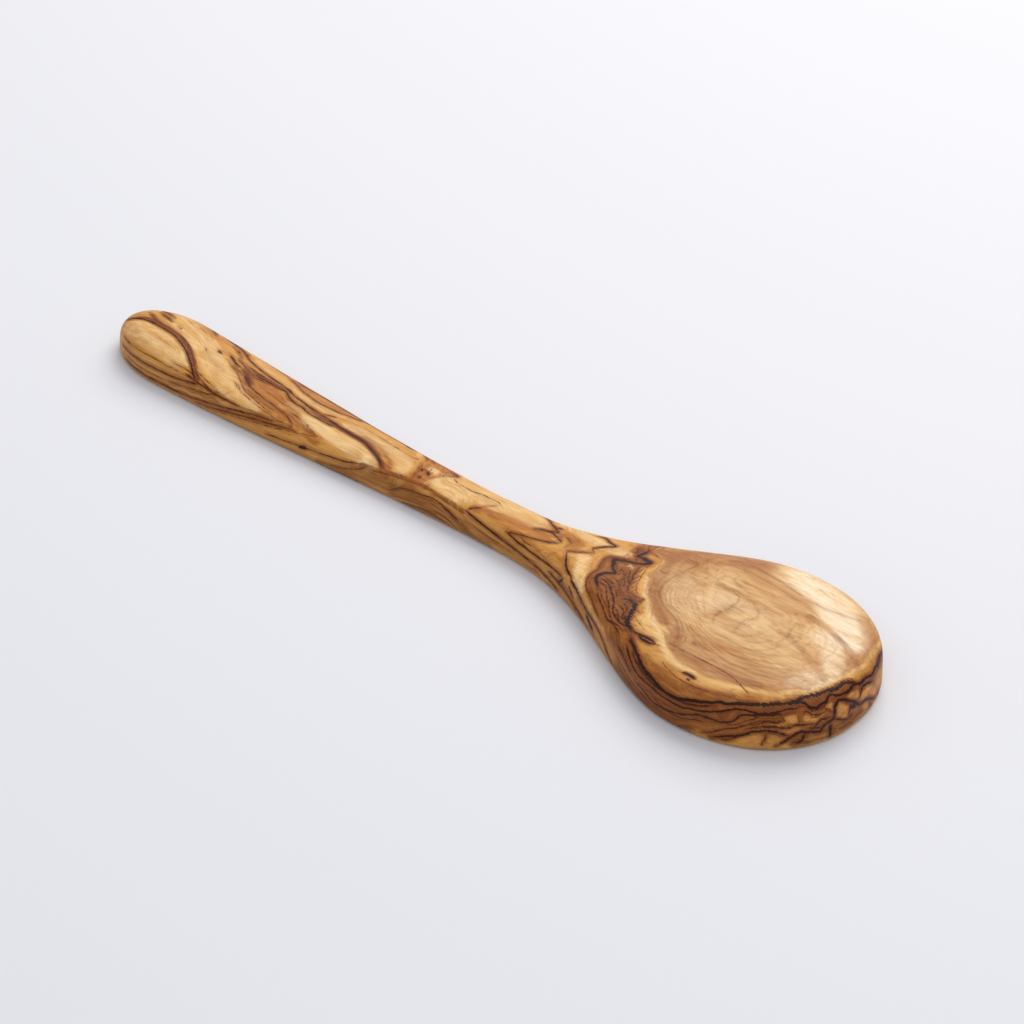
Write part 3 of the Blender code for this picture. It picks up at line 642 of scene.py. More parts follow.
class Skin:
    """The ladle's surface as its mesh has it, to find places on it. Millimetres, x from the butt.

    Rays start above the back, and outside the wall, whose direction is taken from half_step ahead and behind.
    roundings is how often the corners of a line are rounded off.
    """

    above: float = 18.0
    outside: float = 5.0
    half_step: float = 0.5
    roundings: int = 3

    def __init__(self, form: LadleForm, mesh: bpy.types.Mesh) -> None:
        """Take the mesh's corners, normals and faces, and the outline that the wall's places follow.

        Args:
            form: The ladle's form.
            mesh: Its mesh, as built, in metres about the middle of its length.
        """
        corners = np.empty(len(mesh.vertices) * 3)
        mesh.vertices.foreach_get("co", corners)
        self.corners = corners.reshape(-1, 3) / MILLIMETRE + (form.length / 2 / MILLIMETRE, 0.0, 0.0)
        self.faces = BVHTree.FromPolygons(self.corners.tolist(), [face.vertices[:] for face in mesh.polygons])
        near = form.outline(0.0) / MILLIMETRE * (1.0, -1.0)
        self.outline = np.concatenate([near, near[-2::-1] * (1.0, -1.0)])

    def hit(self, start: Vector, way: Vector) -> tuple[Vector, Vector]:
        """Where a ray meets the skin and the normal there, or the place nearest to where it starts."""
        place, normal = self.faces.ray_cast(start, way)[:2]
        return (place, normal) if place else self.faces.find_nearest(start)[:2]

    def on_back(self, points: np.ndarray) -> list[tuple[Vector, Vector]]:
        """Places and normals on the back, for points given by x and y."""
        return [self.hit(Vector((x, y, self.above)), Vector((0.0, 0.0, -1.0))) for x, y in points]

    def on_wall(self, points: np.ndarray) -> list[tuple[Vector, Vector]]:
        """Places and normals on the wall, for points given by the way along it and the height."""
        ahead, behind = (places_along(self.outline, points[:, 0] + step)
                         for step in (self.half_step, -self.half_step))
        places = []
        for front, back, height in zip(ahead, behind, points[:, 1]):
            inward = Vector((back[1] - front[1], front[0] - back[0], 0.0)).normalized()
            middle = Vector((*(front + back) / 2, height))
            places.append(self.hit(middle - inward * self.outside, inward))
        return places

    def trace(self, line: "Vein | Streak", step: float) -> list[np.ndarray]:
        """Lay a vein or a streak on the skin, rounded and divided evenly.

        Args:
            line: The vein or streak.
            step: How far apart the new points are.

        Returns:
            For each of its two stretches that has points, rows of place and normal, six numbers each.
        """
        laid = []
        for points, lay in ((pairs(line.top), self.on_back), (pairs(line.side), self.on_wall)):
            if not len(points):
                continue
            length = lengths_along(points)[-1]
            even = places_along(points, np.linspace(0.0, length, max(2, round(length / step) + 1)))
            for _ in range(self.roundings):
                even[1:-1] = (even[:-2] + 2.0 * even[1:-1] + even[2:]) / 4.0
            laid.append(np.array([[*place, *normal] for place, normal in lay(even)]))
        return laid


class GrowthLayers:
    """The layers the tree grew, which the carving cuts through. Every vein with a level keeps to one layer.

    A layer's level is its height in millimetres plus a warp over x and y, a thin plate bent through all the
    points of the veins.
    """

    def __init__(self, skin: Skin, veins: Sequence[Vein], stiffness: float, aside: float) -> None:
        """Bend the plate through the veins.

        Args:
            skin: The ladle's surface, for the heights at the veins' points.
            veins: The veins.
            stiffness: How far the plate may miss a point to stay smooth.
            aside: How far to each side of a vein its rise is stated.
        """
        places, warps = [], []
        for vein in veins:
            if vein.level is None:
                continue
            top, side = pairs(vein.top), pairs(vein.side)
            levels = np.full(len(top), vein.level)
            if vein.rise and len(top) > 1:
                way = np.gradient(top, axis=0)
                left = np.stack([-way[:, 1], way[:, 0]], -1) / np.linalg.norm(way, axis=1, keepdims=True)
                levels = np.concatenate([levels, levels + vein.rise * aside, levels - vein.rise * aside])
                top = np.concatenate([top, top + left * aside, top - left * aside])
            laid = [place for place, _ in skin.on_back(top) + skin.on_wall(side)]
            levels = np.concatenate([levels, np.full(len(side), vein.level)])
            places.extend([place.x, place.y] for place in laid)
            warps.extend(levels - [place.z for place in laid])
        self.places = np.array(places)
        count = len(self.places)
        system = np.zeros((count + 3, count + 3))
        system[:count, :count] = self.bending(self.places)
        system[range(count), range(count)] = stiffness
        system[:count, count] = system[count, :count] = 1.0
        system[:count, count + 1:] = self.places
        system[count + 1:, :count] = self.places.T
        self.weights = np.linalg.solve(system, np.concatenate([warps, np.zeros(3)]))

    def bending(self, points: np.ndarray) -> np.ndarray:
        """How much each of the plate's places bends it at each point."""
        apart = np.linalg.norm(points[:, None] - self.places[None], axis=2)
        return apart**2 * np.log(apart + TINY)

    def level_at(self, points: np.ndarray) -> np.ndarray:
        """Levels of the layers at points in millimetres, given as rows of x, y and z."""
        count = len(self.places)
        levels = []
        for start in range(0, len(points), CHUNK):
            x_and_y, z = points[start:start + CHUNK, :2], points[start:start + CHUNK, 2]
            plane = self.weights[count] + x_and_y @ self.weights[count + 1:]
            levels.append(z + self.bending(x_and_y) @ self.weights[:count] + plane)
        return np.concatenate(levels)


@dataclass
class VeinLines:
    """The veins as lines on the skin, dealt out over sheets so that close neighbours don't run together.

    reach is how far from a line its numbers hold, spacing how far apart its points are, and absent the half
    width where there is no line. taper is how far from its ends a long vein starts to thin. For a short one
    that is short_taper and a taper_fraction of its length. blunt is the share of the taper that lies beyond
    an end, and end_width the share of the width that doesn't thin.
    """

    skin: Skin
    veins: Sequence[Vein]
    sheets: int
    reach: float = 1.6
    spacing: float = 0.3
    absent: float = -5.0
    taper: float = 4.0
    short_taper: float = 0.2
    taper_fraction: float = 1 / 3.5
    blunt: float = 0.15
    end_width: float = 0.45

    def deal(self) -> list[np.ndarray]:
        """Lay the drawn veins on the skin, each on the sheet where it lies farthest from the others.

        Returns:
            For each sheet, rows of eight numbers: place, leftward direction, half the width, darkness.
        """
        dealt: list[list[np.ndarray]] = [[] for _ in range(self.sheets)]
        for vein in self.veins:
            if vein.width:
                points = self.samples(vein)
                gaps = [min((self.gap(points, other) for other in sheet), default=math.inf)
                        for sheet in dealt]
                dealt[gaps.index(max(gaps))].append(points)
        return [np.concatenate(sheet) for sheet in dealt]

    def gap(self, points: np.ndarray, others: np.ndarray) -> float:
        """The least distance between two lines' points, of which every third is looked at."""
        return float(np.linalg.norm(points[::3, None, :3] - others[None, ::3, :3], axis=2).min())

    def samples(self, vein: Vein) -> np.ndarray:
        """Points along one vein, as rows of a sheet."""
        rows = []
        for line in self.skin.trace(vein, self.spacing):
            way = np.gradient(line[:, :3], axis=0)
            left = np.cross(line[:, 3:], way)
            left /= np.linalg.norm(left, axis=1, keepdims=True) + TINY
            steps = np.arange(len(line)) * self.spacing
            taper = min(self.taper, self.short_taper + steps[-1] * self.taper_fraction)
            body = ease(self.blunt + np.minimum(steps, steps[::-1]) / taper)
            half = vein.width / 2 * (self.end_width + (1.0 - self.end_width) * body)
            rows.append(np.column_stack([line[:, :3], left, half, vein.darkness * np.sqrt(body)]))
        return np.concatenate(rows)

    def at_corners(self, sheet: np.ndarray) -> np.ndarray:
        """A sheet's lines as the skin's corners see them: how far to the left, half the width, darkness."""
        tree = KDTree(len(sheet))
        for index, place in enumerate(sheet[:, :3]):
            tree.insert(place, index)
        tree.balance()
        found = [tree.find(corner) for corner in self.skin.corners.tolist()]
        nearest = sheet[[index for _, index, _ in found]]
        away = np.array([distance for _, _, distance in found])
        aside = np.sum((self.skin.corners - nearest[:, :3]) * nearest[:, 3:6], axis=1)
        half = np.where(away > self.reach + nearest[:, 6], self.absent, nearest[:, 6])
        return np.column_stack([aside, half, nearest[:, 7]])


class Tint(Enum):
    """What a streak brings, a colour, a painted sheen, crumpled layers, rings or fibres. Each is an attribute
    of the mesh.
    """

    PALE = "pale"
    # A painted sheen, a highlight laid in the colour, not a tone of the wood
    PAINTED_SHEEN = "painted_sheen"
    AMBER = "amber"
    ROSE = "rose"
    UMBER = "umber"
    HONEY = "honey"
    BURL = "burl"
    STREAK = "streak"
    RINGS = "rings"
    FIBRE = "fibre"


@dataclass(frozen=True)
class Streak:
    """A soft streak along a line: how far it reaches to each side, how strong it is, and where it runs.

    top and side hold numbers as a vein's do.
    """

    reach: float
    amount: float
    top: Numbers = ()
    side: Numbers = ()

    def amount_at(self, skin: Skin) -> np.ndarray:
        """How strong the streak is at each corner of the skin, fully so over a third of its reach."""
        line = np.concatenate(skin.trace(self, min(1.0, self.reach / 2)))[:, :3]
        low, high = line.min(0) - self.reach, line.max(0) + self.reach
        near = np.flatnonzero(np.all((skin.corners > low) & (skin.corners < high), axis=1))
        amounts = np.zeros(len(skin.corners))
        for part in np.array_split(near, len(near) // CHUNK + 1):
            apart = np.linalg.norm(skin.corners[part, None] - line[None], axis=2).min(1, initial=self.reach)
            amounts[part] = self.amount * ease(1.5 * (1.0 - apart / self.reach))
        return amounts


STREAKS: dict[Tint, tuple[Streak, ...]] = {
    # Sapwood, with a painted sheen over the back of the bowl towards its far side and its tip
    Tint.PALE: (
        Streak(4.6, 0.6, (8, -6.5, 16, -7.6, 25, -8, 34, -9)),
        Streak(2.4, 0.6, (9, -2.8, 18, -2.8, 26, -3.8, 32, -5.8, 36, -8.2)),
        Streak(7, 0.55, (19, 7, 28, 4.5, 36, 1, 46, -4, 57, -8)),
        Streak(3.4, 0.6, (35, 5, 42, 1, 50, -4.4, 60, -8.6, 68, -9.8)),
        Streak(2.2, 0.4, (52, 8.6, 60, 7.4, 68, 6.3, 76, 4.4, 86, 3.8, 93, 5)),
        Streak(4.6, 0.8, (86, -3.2, 95, -4, 104, -4.8, 111, -5.8, 116, -6.8)),
        Streak(3, 0.4, (76, -1.6, 84, -2.6, 92, -3.4)),
        Streak(4.4, 0.5, (98, 3.6, 108, 3.2, 118, 1.6, 124, 0.4, 126, -2.6)),
        Streak(1.6, 0.7, (123.4, 9, 125.4, 5.4)),
        Streak(5, 0.65, (140, -1, 145, -2, 150, -2.6)),
        Streak(3.8, 0.55, (144, 5, 152, 5, 160, 4.6, 170, 3.4, 178, 2.6)),
        Streak(3, 0.6, (184, 7, 192, 6, 200, 5, 209, 5.6)),
        Streak(3.4, 0.75, (198.8, -2.6, 200.6, -4.4, 202, -7, 203.4, -10.4, 207, -14.4)),
        Streak(1.1, 0.8, (213.3, 1.9, 214.2, 1.6)),
        Streak(1.8, 1, (132.8, 2.5, 135, 2.4)),
        Streak(6, 0.6, (142, 1, 150, 0, 158, 2, 166, 2.6, 176, 3)),
        # Painted sheen: the far side of the bowl's back lit pale
        Streak(10, 0.9, (254, 30, 264, 27, 273, 24, 279, 19, 285, 14)),
        Streak(7, 0.35, (228, 8, 234, -2, 242, -8)),
        # Painted sheen: the tip end of the bowl's back lit pale
        Streak(5, 0.65, (276, 9, 284, 6, 289, 2, 291, -4)),
        Streak(6, 0.4, (272, -2, 280, -4, 288, -9)),
        Streak(6.5, 0.35, (236, 8, 236, 2, 243, -2)),
        Streak(4, 0.3, (261, -3, 268, -5, 276, -8, 280, -12)),
        Streak(1.6, 0.6, (221, 0, 225, -6, 231, -12, 238, -17, 244, -22, 250, -26, 259, -27)),
        Streak(1.2, 0.35, side=(204, 10, 212, 9.9, 222, 9, 230, 8.2)),
    ),
    # Painted sheen: a whitish highlight laid in the colour over the back of the bowl, strongest along its far
    # side and towards its tip
    Tint.PAINTED_SHEEN: (
        Streak(8, 0.65, (258, 28, 266, 26, 274, 23, 280, 18, 287, 12)),
        Streak(6, 0.38, (280, 8, 286, 5, 290, 0, 290, -6, 286, -13)),
        Streak(8, 0.22, (232, 4, 238, -2, 246, 4)),
    ),
    # Light patches between the veins, and a painted fill light along the near wall of the handle and neck
    Tint.HONEY: (
        Streak(3, 0.75, side=(293.4, 2.8, 297.6, 4.6)),
        Streak(2.6, 0.55, side=(302, 5, 304.4, 4)),
        Streak(1.7, 1.1, side=(306.2, 11.2, 308.8, 11.2)),
        Streak(2, 1.15, side=(312.6, 10.9, 316, 10.1)),
        Streak(1.8, 0.6, side=(305.2, 7.4, 309.4, 7.7)),
        Streak(1.3, 0.6, side=(301.6, 10, 305, 9.7)),
        Streak(2.8, 1.05, side=(323.4, 10.6, 325.8, 7.2)),
        Streak(1.6, 1.1, side=(328.4, 12.3, 331.5, 11)),
        Streak(1.4, 1, side=(319.6, 12.9, 320.8, 12)),
        Streak(1.6, 0.4, side=(316, 7, 313, 4, 318, 3.2)),
        Streak(2, 1.05, side=(333.8, 9.2, 335.6, 8.6, 336.4, 10)),
        Streak(2.2, 0.7, side=(337.6, 9, 339, 7.4, 341, 5.4)),
        Streak(1.8, 0.7, side=(334.6, 4.8, 336, 3.6)),
        Streak(4, 0.6, side=(344, 8, 347, 6, 352, 4)),
        # Painted fill light: these two long faint streaks lighten the near wall in place of light from the
        # front
        Streak(4, 0.35, side=(10, 4, 40, 4, 70, 4, 100, 4, 130, 4)),
        Streak(4, 0.35, side=(178, 5, 200, 6, 220, 6, 240, 6, 256, 6)),
        Streak(1.4, 0.6, side=(80, 4.6, 92, 5.6, 104, 3.4, 112, 6.6)),
        Streak(1.3, 0.6, side=(150, 7.4, 165, 6.2, 180, 4.8, 190, 6.4, 202, 7)),
        Streak(1.2, 0.6, side=(212, 6, 216, 4.6, 222, 3)),
        Streak(1.4, 0.6, side=(208, 8.8, 218, 6.4, 228, 4.8, 234, 3)),
        Streak(1.5, 0.8, (215.4, 9.2, 218.9, 9.2, 219, 5, 219.4, 1, 221.4, -3, 224, -6.4)),
        Streak(1.4, 0.4, side=(200, 3.4, 208, 3, 216, 5, 222, 5.6, 230, 3.4)),
    ),
    # Heartwood
    Tint.AMBER: (
        Streak(1.8, 0.6, (7, -5.2, 16, -6, 26, -6.2)),
        Streak(2.4, 0.75, (37, 0, 42, -1.4, 47, -3)),
        Streak(2.6, 0.5, (22, 9.4, 30, 9.2, 38, 9)),
        Streak(3.2, 0.75, (58, 1.2, 66, 0.8, 74, -1.2, 80, -3)),
        Streak(2.4, 0.7, (56, -1.8, 64, -2.6, 72, -3.6)),
        Streak(1.8, 0.7, (58, -4.6, 66, -6, 72, -6.8, 79, -7.8)),
        Streak(3.4, 0.9, (78, -5, 84, -6.2, 90, -7.4, 94, -8.4)),
        Streak(2.6, 0.6, (68, 9.4, 78, 7.6, 88, 7.2, 98, 8.4)),
        Streak(3.2, 0.75, (100, 1.4, 108, 1, 115, -1, 120, -4, 122, -7)),
        Streak(3.2, 0.95, (126, 9, 130.4, 5.6, 136, 5.6, 141.4, 4.8)),
        Streak(4.4, 0.9, (131, 4.6, 132.4, 0, 132.4, -5)),
        Streak(3, 0.9, (157, -3.8, 163, -3.4, 170, -2, 177, -1.8, 184, -2)),
        Streak(2, 0.6, (165, -5.4, 174, -5, 182, -6.6, 190, -6.8, 194, -7.8)),
        Streak(2.8, 0.75, (184, 3, 190, 2.6, 195, 1.4, 193, -1.6)),
        Streak(4, 0.6, (248, -31.5, 258, -32.8, 268, -31, 276, -28, 281, -25)),
        Streak(5.5, 0.4, side=(8, 4, 30, 4, 60, 3, 90, 3, 120, 3, 160, 4, 200, 4)),
        Streak(7, 0.7, side=(205, 3, 240, 5, 280, 6, 310, 8, 331, 8, 343, 9)),
    ),
    # Rose-brown heartwood in the back of the bowl
    Tint.ROSE: (
        Streak(2.8, 1, (216, 13.2, 219, 14, 222.4, 12.6, 223, 17)),
        Streak(2.8, 0.55, (221.5, 13, 223.4, 6, 224.4, 0, 227.6, -5, 232.6, -10, 239, -14)),
        Streak(2.2, 0.7, (243.4, -14.6, 247, -18.6, 248.6, -21.6)),
        Streak(2.4, 0.75, (251, -21.6, 260, -22.8, 270, -22, 278, -20.4)),
        Streak(5.5, 0.6, (220, 13, 229, 19, 238, 24, 247, 27)),
        Streak(1.8, 0.6, (271, 14, 279, 12.4, 287, 9.4, 295, 5)),
        Streak(1.9, 0.5, (268, 3, 277, 0.6, 285, -3.6, 291, -6.4)),
        Streak(4, 0.5, (284, 24, 291, 17, 296, 11)),
        Streak(3, 0.35, (252, -16, 262, -18, 272, -17, 282, -13)),
    ),
    # Brown late wood
    Tint.UMBER: (
        Streak(1.4, 1, (4, -2.8, 9, -0.4, 14, 0.6, 20, 0.8, 24, 0.5, 28, -0.7, 31, -1.8, 34, -3.8, 37, -5.8,
            40, -8.2, 43.4, -10.8)),
        Streak(1.4, 0.6, (8, 3.6, 12, 1.7, 16, 0.8)),
        Streak(1.4, 0.8, (11, 5.7, 14, 5.2, 17.4, 4.6)),
        Streak(1.6, 0.8, (9, 8.2, 13, 7.3, 16.4, 6.3)),
        Streak(2.2, 0.6, (4.4, 4.2, 7, 6.8, 10, 9.4)),
        Streak(1.1, 0.8, (26, 13, 30, 11.5, 32.2, 10)),
        Streak(1.5, 0.9, (33, 12.8, 38, 11.6, 43, 10.6, 47.4, 9)),
        Streak(1.4, 0.5, (40.6, 9.4, 44.4, 8, 47.4, 6.4)),
        Streak(2.6, 0.8, (53, 2.4, 55.4, 0.6, 58.6, -1.6)),
        Streak(1.6, 0.7, (55, 3.2, 61, 2.8, 68, 3.2, 71, 3.6)),
        Streak(1.2, 0.6, (47, 5.2, 51, 4, 55, 3, 61, 3, 69, 3.2, 78, 1.4, 90, 0)),
        Streak(1.2, 0.5, (48.6, 1, 53, -0.2, 58, -2.6, 66, -4.8, 76, -5.8)),
        Streak(0.9, 0.5, (43, -11, 48, -11.4, 56, -11)),
        Streak(1.6, 0.9, (88, 0.6, 97, -0.1, 105, 0, 110, -0.9, 115, -2.9, 119, -5.2, 121, -7.4)),
        Streak(2.2, 0.4, (106, 1.2, 113, -0.1, 117.4, -1.9, 121, -4.2, 122.6, -6.8)),
        Streak(1.4, 0.5, (79.4, -5, 84, -5.9, 89, -7, 93, -7.9)),
        Streak(1.2, 0.5, (126.6, 8.2, 128.9, 4.8, 128.8, 1.6, 130.6, -0.8, 131.2, -4.2)),
        Streak(1.2, 0.55, (133.6, 6.4, 138, 6.2, 142.2, 4.8, 139, 2.8, 136.6, 0, 135.4, -3)),
        Streak(1.8, 0.8, (96, 9.8, 106, 9.2, 114, 8.8, 120.8, 7.8)),
        Streak(1.4, 0.8, (30, 13, 36, 12.4, 42, 11.4)),
        Streak(1.6, 0.6, (178.6, -0.9, 182, 0.5, 185.4, 2.2, 189, -1.4, 186, -3.4)),
        Streak(1.5, 0.5, (193.6, -3.4, 197, -1.6, 200, 0.3)),
        Streak(1.6, 0.5, (206, 1.6, 206.4, -4, 207, -9, 210, -13, 215, -17)),
        Streak(1.6, 0.9, (211, 11, 212.6, 8.4, 214.6, 6.4, 216.8, 6.8)),
        Streak(1.5, 0.8, (213, 4, 207, 2, 211.6, -3.4, 208.2, -7.4, 212.6, -12.4)),
        Streak(1.8, 0.8, (216, -6, 218.4, -9, 222, -11, 225, -14, 227, -18, 231, -22)),
        Streak(2.4, 0.7, (285, -25.4, 289.6, -19.6, 293, -13.6, 295.6, -7.4, 297.2, -1)),
        Streak(1.8, 0.8, (234.4, -24.6, 241, -30, 249, -34.4)),
        Streak(1.6, 0.8, side=(252, 11, 262, 10.2, 270, 10, 277, 10.5, 284, 12.4)),
        Streak(1.3, 0.8, side=(303.4, 2.4, 307.7, 5.2, 310.6, 6.2, 316.4, 5, 318, 7, 321.2, 8.2, 321.4, 11,
            324, 12.6, 327.6, 10.6, 331.5, 8)),
        Streak(1.2, 0.7, side=(284, 2.2, 290, 4.4, 296, 6.8, 300, 7.5, 305, 6.4)),
        Streak(1.3, 0.7, side=(311.4, 5.6, 310.4, 3.2, 308, 2.2)),
        Streak(1.6, 0.8, side=(320, 6, 320, 1.6)),
        Streak(1.8, 0.8, side=(312.4, 6.8, 315, 7.6, 317.6, 7)),
        Streak(1.6, 0.8, side=(328, 8.6, 330.6, 7.8)),
        Streak(3.2, 0.7, side=(104, 1, 116, 2.4, 128, 4.6, 140, 2.4)),
        Streak(4.2, 0.5, side=(118, 4, 126, 5.4, 140, 6, 152, 5.4, 164, 5, 178, 4.6, 192, 4.4)),
        Streak(1.2, 0.55, side=(48, 8.2, 58, 7.6, 68, 7.2, 80, 7.4, 90, 7.6)),
        Streak(1.5, 0.7, side=(120, 6.8, 130, 7.7, 143, 8.2, 153, 8.1, 161, 7.8)),
        Streak(3.2, 0.7, side=(138, 2, 150, 3, 160, 3, 172, 1.6)),
        Streak(2.4, 0.5, (243, -28.6, 250, -31.6, 258, -32.8, 266, -31.6, 274, -28.6, 281, -25)),
        Streak(1.4, 0.6, side=(20, 2, 45, 2.6, 60, 4.2, 75, 5.8, 87, 7)),
        Streak(1, 0.5, side=(14, 6, 30, 6.4, 44, 6.8, 52, 7.8)),
        Streak(1.8, 0.6, side=(200, 6.2, 207, 5, 215, 3.4, 223, 2)),
        Streak(4, 0.6, side=(238, 10, 250, 8, 262, 7, 276, 8, 288, 10)),
        Streak(4.5, 0.7, side=(244, 3, 262, 2, 276, 2)),
        Streak(2.2, 0.7, side=(290, 12.8, 304, 13, 316, 13.4, 331, 13.6)),
        Streak(1.8, 0.9, side=(333, 12, 340, 11.4, 347, 11.2, 353, 10.8, 358, 7)),
        Streak(1.4, 0.7, side=(331, 8.4, 332, 6.6, 336, 6.2, 340, 3.6, 346, 1.4)),
        Streak(3.2, 0.6, side=(118, 2.4, 124, 4.4, 134, 5, 142, 5)),
        Streak(2.4, 0.8, side=(203.6, 6.6, 207, 5.2, 211, 5, 214, 3.4)),
        Streak(1.8, 0.6, side=(40, 4.6, 48, 5.8, 58, 6, 64, 4.4)),
        Streak(1.4, 0.7, side=(306, 14.7, 316, 14.5, 331, 14.6)),
        Streak(3, 0.75, side=(309, 2.6, 316, 3.4, 324, 3, 331, 3.6, 338, 1.6)),
        Streak(3, 0.5, side=(366, 8, 384, 6, 404, 6.4, 424, 7, 440, 7)),
        Streak(2, 0.5, side=(462, 8, 474, 6, 490, 5, 505, 3.6)),
        Streak(2.2, 0.55, side=(532, 7, 545, 6.2, 562, 5.2, 586, 4.4)),
        Streak(1.8, 0.6, side=(594, 7.8, 612, 6.6, 632, 6, 648, 6)),
    ),
    # Burl, where the layers are crumpled
    Tint.BURL: (
        Streak(4.6, 0.85, (212, 11, 212, 3, 213, -3, 217, -8, 224, -11)),
        Streak(2.2, 1, (225.6, -10, 227.4, -14, 229.4, -19, 232.6, -21.6)),
        Streak(3.6, 0.35, (211, -5, 216, -12, 224, -17, 234, -24)),
        Streak(3, 0.2, (239, 14, 243, 10.4, 250, 8, 250, 0, 250, -6)),
        Streak(3, 0.2, (252, 9.4, 256, 8, 259, 4, 257, -1, 257.6, -6)),
        Streak(2.6, 0.8, (283, -25, 290, -17, 294, -9, 297, 0)),
        Streak(2.6, 0.5, (130, 4, 139, 4.4)),
        Streak(2, 0.5, (183, 1, 196, 5, 200, 2, 195, -5)),
        Streak(7, 0.45, side=(300, 8, 316, 9, 331, 9)),
    ),
    # Dark rings, close together
    Tint.RINGS: (
        Streak(5, 0.9, (212, 2, 212, -5, 216, -10, 219, -13)),
        Streak(6, 0.6, side=(298, 8, 306, 8.6, 316, 8, 331, 8)),
        Streak(4, 0.6, side=(200, 5, 215, 5, 235, 5)),
    ),
    # Thin rings in the back of the bowl
    Tint.FIBRE: (
        Streak(9, 0.9, (226, 14, 227, 0, 234, -9, 245, -14, 260, -15, 276, -13)),
        Streak(22, 0.5, (240, 4, 256, 2, 275, 0)),
    ),
    # Close dark fibres
    Tint.STREAK: (
        Streak(2.6, 0.9, (49, 4, 56, 0.8, 63, 2.2)),
        Streak(1.7, 0.5, (82, -5, 88, -6.6, 92, -7.4)),
        Streak(2, 0.45, (58, 1.4, 66, 0.4, 73, -1.6, 81, -4)),
        Streak(1.8, 0.5, (54, -2.4, 60, -5, 68, -6.6, 78, -8)),
        Streak(2.2, 0.8, (6, 6, 12, 6.6, 18, 4.6)),
        Streak(1.6, 0.8, (28, 11.8, 36, 11.4, 44, 9.6)),
        Streak(2.4, 0.7, (129, 5, 131, 0, 140, 4.6)),
        Streak(1.4, 0.8, (126.4, 8.8, 128.6, 6.4, 130, 4.4)),
        Streak(2.6, 0.4, side=(20, 3.4, 45, 3, 60, 4, 75, 5, 90, 5.6)),
        Streak(2.6, 0.4, side=(104, 3.4, 125, 4.6, 145, 4.4, 170, 4.6, 200, 5)),
        Streak(2.4, 0.5, side=(206, 6, 225, 5, 244, 6, 264, 5, 285, 6)),
        Streak(2.4, 0.5, (211, 10, 213, 3, 212, -4, 214, -9)),
    ),
}


@dataclass(frozen=True)
class Wander:
    """Noise about zero: its spacing in millimetres along each axis, its detail, and its reach either way.

    With a fade it becomes an amount. Between the fade's first two numbers it goes smoothly from the third to
    the fourth, or from 0 to 1.
    """

    spacing: tuple[float, float, float]
    detail: float
    reach: float = 1.0
    fade: Numbers = ()


@dataclass(frozen=True)
class Rings:
    """Growth rings: how many there are to a millimetre of level, and the fade from the gaps to a ring."""

    number: float
    fade: Numbers


